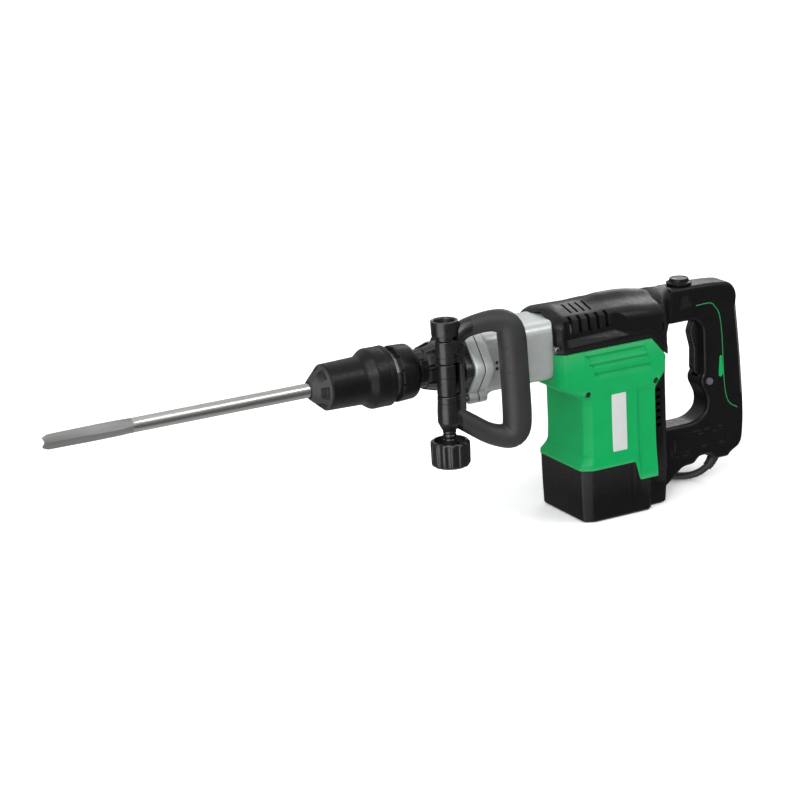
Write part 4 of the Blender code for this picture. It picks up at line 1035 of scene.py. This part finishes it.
def motor_cover():
    """Black cup under the motor, with a stepped rim, a groove and cooling ribs in its rear block."""
    stations = fillet(
        [(5.0, 0.0, 0.0), (1.5, 3.0, 3.0), (0.6, 30.0, 22.0), (0.0, RIM[0] - 0.3, RIM[1] - 0.3)],
        [0, 1.5, 6, 0], 4, closed=False
    )
    outer = [base_ring(*s) for s in stations]
    inner = [base_ring(s[0] + 3.5, max(s[1], 3.5), max(s[2], 3.5)) for s in stations]
    inner = [[(x, y, z + 0.002 * k) for x, y, z in ring] for k, ring in enumerate(inner)]
    cup = formed("base_cup", shell, outer, inner, floor=True)
    seat = turned("seat", [(2.0, 12.3), (2.0, 16), (22, 15), (22, 12.3)], (MOTOR_X, 0, 0), axis="Z")
    carve(cup, seat, "UNION")
    grooves = bmesh.new()
    for low, high in both_sides(46.1, 50):
        for i in range(3):
            box(grooves, (40, low, 11 + 9 * i), (61, high, 13.5 + 9 * i))
    carve(cup, grooves)
    piece(cup, "hammer", "black_plastic", BLACK, "motor_cover", angle=28)


def rear_ring(z, front, inset):
    half, rear = 47 - inset, 65 - inset
    return [
        (x, y, z) for x,
        y in fillet([(front, -half), (rear, -half), (rear, half), (front, half)], [0, 8, 8, 0])
    ]


def rear_cover():
    """Black rear wall behind the green casing, with slanted cooling slots on both sides."""
    stations = [(RIM[1] + 0.3, 44), (110, 44), (172, 45), (189, 56.5), (203, 58.8)]
    smooth = fillet(stations, [0, 0, 6, 4, 0], 4, closed=False)
    outer, inner = ([rear_ring(*s, inset) for s in smooth] for inset in (0.0, WALL))
    wall = formed("rear_wall", shell, outer, inner, cyclic=False)
    for low, high in both_sides(42, 49):
        slots = bmesh.new()
        for i in range(6):
            z = 108 + 9.6 * i
            prism(slots, [(46.5, z), (53.5, z + 0.8), (53.5, z + 5.2), (46.5, z + 4.4)], low, high)
        carve(wall, slots)
    piece(wall, "hammer", "black_plastic", BLACK, "rear_cover")


def top_section(half, low, ledge, shoulder, crown):
    """The upper casing's section, from its left lower edge over the arched top to the right one."""
    left = [
        (-half, low), (-half, ledge), (-half + 1.0, ledge + 4), (-half + 2.0, shoulder - 18),
        (-half + 6, shoulder - 11), (-half + 15, shoulder - 5.5), (-half + 36, shoulder - 0.5), (0, crown)
    ]
    path = left + [(-y, z) for y, z in reversed(left[:-1])]
    setbacks = [0, 1.4, 2.4, 4, 4, 5, 7, 10, 7, 5, 4, 4, 2.4, 1.4, 0]
    return fillet(path, setbacks, 5, closed=False)


def top_ring(station, inset):
    """One section, with the front edge raked back above its sides."""
    x, half, low, ledge, shoulder, crown = station
    inner = max(half - 4 * inset, 43.5) if inset else half
    section = top_section(inner, low, ledge - inset * 0.5, shoulder - inset, crown - inset)
    ahead = 1 - ease(x, -104.5, -75)
    return [(x + 9.0 * ahead * ease(z, 266, 284), y, z) for y, z in section]


def top_housing():
    """Black upper casing over the barrel's rear and the gears, narrowing to the handle."""
    base = GREEN_TOP + 0.3
    stations = [  # x, half width, lower edge, ledge, shoulder, crown
        (-104.5, 45, 238, 244, 281, 282.5), (-102.5, 48.5, 235, 242.5, 283, 284.5),
        (-95, 55.5, 233.6, 242, 284, 286), (-84, 56, base, 242, 284, 287), (-40, 56, base, 242, 283, 286.5),
        (-14, 56, base, 242, 284, 293), (20, 56, base, 242, 283, 293), (36.5, 56, base, 242, 281, 291),
        (58.5, 53, 210.5, 222, 279, 287), (66, 49, 205, 214, 276, 284)
    ]
    smooth = fillet(stations, [0, 2, 4, 3, 7, 7, 8, 6, 6, 0], 5, closed=False)
    outer, inner = ([top_ring(s, inset) for s in smooth] for inset in (0.0, WALL))
    casing = formed("upper_casing", shell, outer, inner, cyclic=False)
    sections = [
        (61.5, 46, 207, 272), (66, 45, 206, 276), (76, 33, 222, 280.5), (86, 23.5, 232.5, 282),
        (92, 21, 235, 282.5)
    ]
    rings = []
    for x, half, low, high in sections:
        corners = [(-half, low), (half, low), (half, high), (-half, high)]
        rings.append([(x, y, z) for y, z in fillet(corners, [8, 8, 20, 20], 5)])
    carve(casing, formed("neck", skin, rings), "UNION")
    mouth = [(-95, 292), (-94.5, 272), (-93, 245), (-89, 241.0), (5, 243.0), (9, 248), (9, 268), (0, 292)]
    floor = [
        (-92, 292), (-91.5, 272), (-89, 253), (-86, 249.5), (-14, 251.5), (-12, 254), (-12, 270),
        (-16, 292)
    ]
    panels = bmesh.new()
    for side in (-1, 1):
        depths = ((64, mouth), (56.2, mouth), (47.6, floor))
        skin(panels, [[(x, side * reach, v) for x, v in fillet(loop, 2.5, 4)] for reach, loop in depths])
    carve(casing, panels)
    vents = bmesh.new()
    for low, high in both_sides(40, 62):
        for i in range(5):
            x = -80 + 13.4 * i
            loop = [(x - 2.6, 279), (x - 0.6, 256.5), (x + 4.4, 256.5), (x + 2.4, 279)]
            prism(vents, fillet(loop, 1.2, 3), low, high)
        prism(vents, rectangle((57, 239.5), (60, 249), 1.2), low, high)
    for i in range(4):
        x = -70 + 10 * i
        loop = [(x - 1.6, -33), (x + 1.6, -33), (x + 3.4, -6), (x + 0.2, -6)]
        skin(vents, [[(u, v, z) for u, v in loop] for z in (268, 296)])
    carve(casing, vents)
    dimples = bmesh.new()
    for low, high in both_sides(47.8, 56):
        for i in range(5):
            cylinder(dimples, (-77 + 13.4 * i, 252.6), 1.3, low, high, axis="Y", steps=16)
    carve(casing, dimples)
    piece(casing, "hammer", "black_plastic", BLACK, "top_housing", angle=28)
    for side, name in ((-1, "left"), (1, "right")):
        centre = (-106.0, 0, 241.6)
        reach = side * 57.2
        rim = [(side * 50, 0), (side * 50, 4.0), (reach - side * 0.6, 4.0), (reach, 3.3), (reach, 0)]
        head = turned(f"ledge_screw_{name}", rim, centre, axis="Y", steps=40)
        socket = bmesh.new()
        cylinder(
            socket, (centre[0], centre[2]), 1.9, *sorted((reach + side, reach - side * 2)), axis="Y",
            steps=6
        )
        carve(head, socket)
        piece(head, "hammer", "ground_steel", DARK_STEEL)


def inner_parts():
    """Better surfaces for the CAD nodes that stay."""
    groups = [
        (DARK_STEEL, "tool_holder lock_roller_left lock_roller_right armature_core stator_core"),
        (STEEL, "sleeve_spring impact_bolt striker wrist_pin connecting_rod crank_pin crank_shaft"),
        (STEEL, "crank_gear cylinder_liner armature_shaft motor_bearing_lower motor_bearing_upper"),
        (CAST, "piston gear_plate"), (COPPER, "commutator field_coil_front field_coil_rear"),
        (CARBON, "carbon_brush_left carbon_brush_right"), (BRASS, "brush_holder_left brush_holder_right"),
        (DEEP_BLACK, "fan switch_body")
    ]
    for material, names in groups:
        for name in names.split():
            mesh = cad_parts[name].data
            mesh.materials.clear()
            mesh.materials.append(material)


# ---------------------------------------------------------------- rear handle

HANDLE_HALF = 19.0
PAD_LINE = [(198.5, 246.0), (204.5, 175.0), (207.6, 118.0)]  # back of the grip, from the top of its pad down
PAD_DEPTH = 4.0
LOCK_BUTTON = (middle("lock_button", "X"), middle("lock_button", "Z"))


def handle_outline():
    points = [  # x, z, setback of the rounded corner
        (92.3, 281, 0), (160, 280, 12), (190, 277, 12), (200.5, 261, 12), (198.5, 246, 3), (204.5, 175, 30),
        (207.6, 118, 12), (208.1, 80, 16), (204.5, 47, 12), (186, 38, 4), (182, 33, 2.5), (160, 33, 2.5),
        (152, 42, 4), (135, 42, 4), (126, 33, 4), (108, 32, 6), (78, 8.2, 5), (BASE_REAR + 1.4, 8.2, 0),
        (BASE_REAR + 1.4, 110, 0), (74, 92, 10), (130, 92, 12), (148, 104, 12), (149, 122, 8),
        (139, 142, 4), (139, 151, 4), (144, 158, 3), (143.5, 222, 8), (132, 233, 8), (92.3, 233, 0)
    ]
    return fillet([(x, z) for x, z, _ in points], [setback for _, _, setback in points], 4)


def handle_solid():
    """The whole moulding, before it is split: thickest through the grip, with rounded edges."""
    outline = handle_outline()
    core = slab("handle_core", outline, -HANDLE_HALF + 5.5, HANDLE_HALF - 5.5)
    crown = slab("handle_crown", outline, -HANDLE_HALF, HANDLE_HALF, edge=6.0, rounds=5)
    return remould(gathered("handle_solid", core, crown), 1.0, 8, 0.45)


def rear_handle():
    """Two clamshell halves, hollow inside the grip and both arms, and the rubber back between them."""
    solid = handle_solid()
    trim = bmesh.new()
    box(trim, (40, -30, 0), (BASE_REAR + 1.3, 30, 300))
    box(trim, (60, -30, 200), (92.3, 30, 300))
    carve(solid, trim)
    front = [(x - PAD_DEPTH - 1.5, z) for x, z in PAD_LINE]
    zone = fillet([*front, (216, 118), (216, 246)], [5, 0, 5, 0, 0], 4)
    grown = [(x - 0.3, z + (0.3 if z > 175 else -0.3)) for x, z in zone]
    pad = carve(copy_of(solid, "grip_back"), slab("pad_zone", zone, -25, 25), "INTERSECT")
    lines = bmesh.new()
    for i in range(13):
        z = 127.0 + 8.6 * i
        box(lines, (201.6, -9 + 0.45 * abs(i - 6), z), (216, 9 - 0.45 * abs(i - 6), z + 1.6))
    carve(pad, lines)
    piece(pad, "hammer", "black_rubber", GREY_RUBBER, "grip_pad")
    carve(solid, slab("pad_seat", grown, -25, 25))
    x, z = LOCK_BUTTON
    hollows = [  # the grip, the two arms, the trigger's slot and the room above it
        ((154, -14.5, 116), (192, 14.5, 224)), ((96, -14.5, 240), (186, 14.5, 268)),
        ((74, -14.5, 52), (184, 14.5, 84)), ((125, -7.4, 151), (158, 7.4, 228)),
        ((134, -7.4, 223), (166, 7.4, 241))
    ]
    for low, high in hollows:
        carve(solid, formed("hollow", box, low, high))
    seats = bmesh.new()
    cylinder(seats, (DIAL_X, 0), 14.4, 262, 289)
    cylinder(seats, (x, z), 5.4, -22, 0, axis="Y")
    carve(solid, seats)
    for low, high in both_sides(HANDLE_HALF - 0.7, HANDLE_HALF + 4):
        window = rectangle((110, 252.5), (122, 268.5), 2.0)
        carve(solid, slab("window", window, low, high))
        panel = fillet([(90, 50), (120, 50), (127, 58), (176, 58), (176, 78), (90, 78)], 5)
        inner = fillet([(92, 52), (119, 52), (126, 60), (174, 60), (174, 76), (92, 76)], 4)
        carve(solid, slab("panel", panel, low, high, holes=[inner]))
        spot = slab("button_rim", circle((x, z), 8.0), low, high)
        carve(solid, spot)
    for side, name in ((-1, "left"), (1, "right")):
        half = copy_of(solid, f"handle_shell_{name}")
        low, high = sorted((side * 0.15, side * 40))
        carve(half, formed("half_space", box, (0, low, -10), (300, high, 400)), "INTERSECT")
        piece(half, "hammer", "black_plastic", BLACK, f"handle_{name}", angle=30)
    bpy.data.objects.remove(solid, do_unlink=True)


def handle_inlays():
    """Green line and insert on each side of the grip, and the dark window by the dial."""
    path = [
        (132, 253), (155, 253), (162, 247), (169, 236), (173, 205), (175, 148), (178, 122), (184, 109),
        (196, 101)
    ]
    line = smooth_path([(x, 0, z) for x, z in path], 4.0)
    for side, name in ((-1, "left"), (1, "right")):
        path = [(p.x, side * (HANDLE_HALF - 0.45), p.z) for p in line]
        piece(formed(f"inlay_line_{name}", sweep, path, 0.8, 12), "hammer", "green_plastic", ACCENT)
        low, high = sorted((side * (HANDLE_HALF - 1), side * (HANDLE_HALF + 0.35)))
        insert = fillet([(168.5, 178), (166.5, 150), (170.5, 148), (174, 152), (172.5, 178)], 1.6)
        badge = slab(f"inlay_insert_{name}", insert, low, high, edge=0.3)
        piece(badge, "hammer", "green_plastic", GREEN)
        low, high = sorted((side * (HANDLE_HALF - 1.2), side * (HANDLE_HALF - 0.3)))
        glass = slab(
            f"inlay_window_{name}", rectangle((110.3, 252.8), (121.7, 268.2), 1.8), low, high, edge=0.2
        )
        piece(glass, "hammer", "black_plastic", HARD_BLACK)


def trigger():
    """Long finger lever with a ribbed front, hinged at its top."""
    back = [(139, 236), (158, 236), (162, 226), (156, 216), (154, 153)]
    front = [(141, 153), (135, 162), (136, 190), (130, 214)]
    outline = fillet(back + front, 4.0)
    lever = slab("trigger_lever", outline, -6.8, 6.8, edge=2.2, rounds=4)
    ribs = bmesh.new()
    for i in range(7):
        z = 164 + 5.6 * i
        box(ribs, (130, -4.6, z), (136.4, 4.6, z + 1.3))
    carve(lever, ribs)
    piece(lever, "trigger", "black_plastic", HARD_BLACK, "trigger")


def lock_button():
    x, z = LOCK_BUTTON
    front, back = span("lock_button", "Y")
    points = [(front + 0.5, 0), (front, 3.4), (front + 0.3, 4.4), (front + 1.4, 5.0), (back, 5.0), (back, 0)]
    button = turned("lock_push", fillet(points, [0, 0.4, 0.3, 0.4, 0, 0]), (x, 0, z), axis="Y", steps=48)
    piece(button, "lock_button", "black_rubber", GREY_RUBBER, "lock_button")


def speed_dial():
    """Two-tier dial with a knurled rim and a pointer."""
    low, high = span("speed_dial", "Z")
    points = [(low, 0), (low, 6), (281.4, 6), (281.4, 16.5), (284.4, 17.4), (285.6, 13.5)]
    points += [(high, 12.6), (high, 10.5), (high - 0.5, 9.8), (high - 0.5, 0)]
    setbacks = [0, 0, 0, 0.6, 0.5, 0.3, 0.5, 0.3, 0, 0]
    dial = turned("dial_wheel", fillet(points, setbacks), (DIAL_X, 0, 0), axis="Z", steps=120)
    notches = bmesh.new()
    for i in range(30):
        place = Matrix.Translation((DIAL_X, 0, 0)) @ Matrix.Rotation(math.tau * i / 30, 4, "Z")
        box(notches, (16.3, -0.7, 280), (19, 0.7, 286), place)
    carve(dial, notches)
    piece(dial, "speed_dial", "black_plastic", BLACK, "speed_dial")
    pointer = formed("dial_pointer", box, (DIAL_X - 9.2, -0.6, high - 0.7), (DIAL_X - 3, 0.6, high - 0.2))
    piece(pointer, "speed_dial", "cast_aluminium", PLATE)


# ---------------------------------------------------------------- side handle, round the clamp bolt


BOLT_HOLE_R = 6.4


def bolt_turned(bm, profile, steps=96):
    revolve(bm, profile, (BOLT[0], BOLT[1], 0), "Z", steps)


def side_handle_band():
    """Clamp strap round the front cover, with two lugs on the bolt."""
    front, back = -256.6, -241.0
    profile = fillet([(front, 26.4), (front, 31.2), (back, 31.2), (back, 26.4)], [0, 1.0, 1.0, 0])
    strap = turned("strap", profile, TOOL_AXIS)
    x, y = BOLT
    outline = []
    for i in range(21):
        angle = math.radians(100 + 10 * i)
        outline.append((x + 13 * math.cos(angle), y + 13 * math.sin(angle)))
    outline += [(-252, -49), (-245, -42), (-245, -20), (front, -20), (front, -33.5), (-266, -40)]
    lugs = slab("lugs", outline, 213.2, 253.2, "XY", edge=1.0)
    band = remould(gathered("clamp_strap", strap, lugs), 0.6, 3, 0.45)
    carve(band, formed("bore", cylinder, (0, AXIS_Z), SPIGOT_R, -262, -236, axis="X", steps=96))
    carve(band, formed("bolt_hole", cylinder, BOLT, BOLT_HOLE_R, 205, 262))
    carve(band, formed("split", box, (-290, -85, 236.3), (-235, -25, 237.1)))
    piece(band, "side_band", "black_plastic", HARD_BLACK, "side_handle_band")


def clamp_bolt():
    """Bolt with a large recessed head on top."""
    low, high = span("clamp_bolt", "Z")
    points = [
        (low, 0), (low, 5), (low + 1, 6), (284, 6), (284, 12.5), (290, 12.5), (290.4, 17), (high, 17.5),
        (high, 14.2), (high - 1.6, 13.2), (high - 8.5, 12), (high - 8.5, 8.5), (high - 7.0, 7.5),
        (high - 7.0, 0)
    ]
    setbacks = [0, 0, 0, 0, 0.8, 0.3, 0.8, 1.2, 0.8, 0.6, 0.3, 0, 0, 0]
    bolt = formed("bolt_with_cap", bolt_turned, fillet(points, setbacks))
    carve(bolt, formed("socket", cylinder, BOLT, 5.0, high - 11, high - 5, steps=6))
    threads = bmesh.new()
    for i in range(16):
        z = 150.5 + 1.8 * i
        profile = [(z, 5.5), (z + 0.45, 5.5), (z + 0.9, 7.0), (z - 0.45, 7.0)]
        bolt_turned(threads, profile, 48)
    carve(bolt, threads)
    piece(bolt, "side_band", "black_steel", BLACK_STEEL, "clamp_bolt")


def clamp_knob():
    """Knob with rounded ribs, a hollow top and a neck with a moulded thread."""
    low, high = 121.0, 154.0
    ribs = 13
    x, y = BOLT
    steps = 260

    def ring(z, reach, depth):
        row = []
        for i in range(steps):
            angle = math.tau * i / steps
            wave = math.cos(ribs * angle)
            radius = reach + depth * math.copysign(abs(wave) ** 0.55, wave)
            row.append((x + radius * math.cos(angle), y + radius * math.sin(angle), z))
        return row

    rings = [
        ring(low, 20.5, 0.1), ring(low + 0.6, 22.0, 0.4), ring(low + 2.0, 23.2, 0.8),
        ring(low + 4.0, 23.9, 0.95)
    ]
    rings += [ring(low + 16, 24.1, 1.0), ring(high - 4, 24.2, 1.0), ring(high - 2, 23.9, 0.8)]
    rings += [ring(high - 0.6, 22.9, 0.3), ring(high, 21.8, 0.05)]
    knob = formed("ribbed_knob", skin, rings)
    hollow = [(145.5, 8.8), (145.5, 17.5), (148, 19), (157, 20.5), (157, 8.8)]
    carve(knob, formed("hollow", bolt_turned, hollow))
    points = [(144, 5), (144, 8.9), (153.5, 8.7), (155.5, 8.7), (156.5, 7.6)]
    points += [
        (158, 7.6), (159, 8.7), (161, 8.7), (162, 7.8), (163.5, 7.8), (164.5, 8.6), (167, 8.4), (167, 5)
    ]
    carve(knob, formed("neck", bolt_turned, fillet(points, 0.3, 2)), "UNION")
    carve(knob, formed("bore", cylinder, BOLT, BOLT_HOLE_R, 100, 180))
    piece(knob, "clamp_knob", "black_plastic", HARD_BLACK, "clamp_knob", angle=45)


def side_handle_grip():
    """D handle: two eyes on the bolt with a web between them, two arms and a thick grip bar."""
    path = [  # distance from the bolt, height, radius
        (6, 270, 11.0), (13, 284, 11.6), (24, 294.0, 12.2), (42, 299.0, 12.6), (60, 300.9, 13.6),
        (75, 298.0, 15.8), (83, 289.5, 17.6), (86, 276, 18.4), (87.2, 254, 18.2), (87.8, 232, 18.3),
        (88.8, 200, 18.4), (89, 172, 18.5), (87, 157, 18.0), (79, 150, 16.8), (64, 151.5, 14.4),
        (48, 158, 13.2), (32, 168.5, 13.0), (14, 181, 12.6), (4, 190, 11.5)
    ]
    x, y = BOLT
    along = Vector((math.cos(SIDE_YAW), math.sin(SIDE_YAW), 0.0))
    smooth = smooth_path(path, 4.0)
    bm = bmesh.new()
    sweep(
        bm, [Vector((x, y, 0)) + along * p.x + Vector((0, 0, p.y)) for p in smooth],
        [p.z for p in smooth], 40
    )
    bolt_turned(bm, [(254, 3), (254, 13), (283.4, 13), (283.4, 3)])
    bolt_turned(bm, [(167.6, 3), (167.6, 9), (178, 14), (192, 14), (205, 13.2), (212.4, 13), (212.4, 3)])
    place = Matrix.Translation((x, y, 0)) @ Matrix.Rotation(SIDE_YAW, 4, "Z")
    box(bm, (15.8, -5.6, 192), (22.5, 5.6, 282), place)
    for low, high in ((192, 212.4), (254, 282)):
        box(bm, (10, -5.6, low), (18, 5.6, high), place)
    grip = remould(to_object("d_handle", bm), 0.9, 5, 0.5)
    for radius, low, high in ((BOLT_HOLE_R, 150, 320), (13.6, 212.7, 253.7), (18.1, 283.7, 330)):
        carve(grip, formed("opening", cylinder, BOLT, radius, low, high, steps=96))
    facing = Vector((-0.788, -0.616, 0))  # from the bar's axis to the row of dents
    dents = bmesh.new()
    for z in (267, 250, 235, 222, 207.5, 193):
        reach = 88.0 if z < 240 else 87.0
        centre = Vector((x, y, z)) + along * reach + facing * 18.9
        made = bmesh.ops.create_icosphere(dents, subdivisions=2, radius=1.25)
        bmesh.ops.translate(dents, vec=centre, verts=made["verts"])
    carve(grip, dents)
    seams = bmesh.new()
    for z in (203.5, 262.0):
        bolt_turned(seams, [(z, 12.3), (z + 0.9, 12.3), (z + 0.9, 15), (z, 15)])
    carve(grip, seams)
    piece(grip, "side_handle", "black_rubber", (RUBBER, HARD_BLACK), "side_handle_grip", angle=32)
    for face in grip.data.polygons:
        centre = face.center / MM
        reach = (centre - Vector((x, y, centre.z))).dot(along)
        upper = centre.z > 240
        if reach < (33.0 if upper else 15.0):
            face.material_index = 1


# ---------------------------------------------------------------- floor and light

FLOOR_HALF = 60000.0


def area_light(name, place, target, size, power, shape="RECTANGLE"):
    data = bpy.data.lights.new(name, "AREA")
    data.shape = shape
    data.size, data.size_y = size
    data.energy = power
    obj = linked(name, data)
    obj.location = place
    obj.rotation_euler = (Vector(target) - Vector(place)).to_track_quat("-Z", "Y").to_euler()


def surround():
    """A room that is white above and dark below, with pale panels that light edges and undersides."""
    world = bpy.data.worlds.new("studio")
    world.use_nodes = True
    tree = world.node_tree
    links = tree.links
    background = tree.nodes["Background"]
    background.inputs["Strength"].default_value = 0.9
    where = node(tree, "TexCoord")
    split = node(tree, "SeparateXYZ")
    links.new(where.outputs["Generated"], split.inputs["Vector"])
    heights = node(tree, "ValToRGB")
    links.new(split.outputs["Z"], heights.inputs["Fac"])
    for stop, position, grey in zip(heights.color_ramp.elements, (0.0, 0.55), (0.22, 1.0)):
        stop.position = position
        stop.color = (grey, grey, grey, 1.0)
    colour = heights.outputs["Color"]
    patches = [  # direction, cosine where it starts, cosine where it is full, strength
        ((-0.857, -0.436, -0.276), 0.84, 0.92, 3.2), ((0.436, -0.552, 0.711), 0.975, 0.99, 6.0),
        ((0.0, 0.0, -1.0), 0.62, 0.85, 0.5)
    ]
    for direction, start, full, strength in patches:
        toward = node(tree, "VectorMath")
        toward.operation = "DOT_PRODUCT"
        toward.inputs[1].default_value = direction
        links.new(where.outputs["Generated"], toward.inputs[0])
        patch = node(tree, "MapRange", From_Min=start, From_Max=full, To_Max=strength)
        patch.interpolation_type = "SMOOTHSTEP"
        links.new(toward.outputs["Value"], patch.inputs["Value"])
        total = node(tree, "Mix")
        total.data_type = "RGBA"
        total.blend_type = "ADD"
        total.inputs["Factor"].default_value = 1.0
        links.new(colour, total.inputs["A"])
        links.new(patch.outputs["Result"], total.inputs["B"])
        colour = total.outputs["Result"]
    links.new(colour, background.inputs["Color"])
    bpy.context.scene.world = world


def studio():
    """Plain pale floor, a bright surround and soft lights."""
    bm = bmesh.new()
    bmesh.ops.create_grid(bm, x_segments=1, y_segments=1, size=FLOOR_HALF)
    floor = to_object("floor", bm)
    material = bpy.data.materials.new("pale_floor")
    material.use_nodes = True
    shader = material.node_tree.nodes["Principled BSDF"]
    shader.inputs["Base Color"].default_value = (0.94, 0.94, 0.94, 1.0)
    shader.inputs["Roughness"].default_value = 0.9
    shader.inputs["Specular IOR Level"].default_value = 0.1
    shader.inputs["Emission Color"].default_value = (1.0, 1.0, 1.0, 1.0)
    shader.inputs["Emission Strength"].default_value = 0.1
    floor.data.materials.append(material)
    floor.visible_glossy = False
    floor.visible_shadow = False
    surround()
    sun = bpy.data.lights.new("sky_panel", "SUN")
    sun.energy = 1.5
    sun.angle = math.radians(50)
    panel = linked("sky_panel", sun)
    panel.rotation_euler = Vector((0.75, 0.45, -1.0)).to_track_quat("-Z", "Y").to_euler()
    area_light("key", (-1.7, -1.9, 1.5), (-0.25, 0, 0.2), (0.9, 0.6), 20.0)
    area_light("rim", (1.6, 1.6, 1.4), (0.0, 0, 0.2), (1.2, 1.2), 12.0)
    bpy.context.scene.view_settings.view_transform = "Standard"


camera()
supply_cord()
chisel()
dust_cap()
locking_sleeve()
index_ring()
front_cover()
flange_plate()
barrel()
flange_bolts()
motor_housing()
housing_screws()
blank_plates()
motor_cover()
rear_cover()
top_housing()
inner_parts()
rear_handle()
handle_inlays()
trigger()
lock_button()
speed_dial()
side_handle_band()
clamp_bolt()
clamp_knob()
side_handle_grip()
studio()
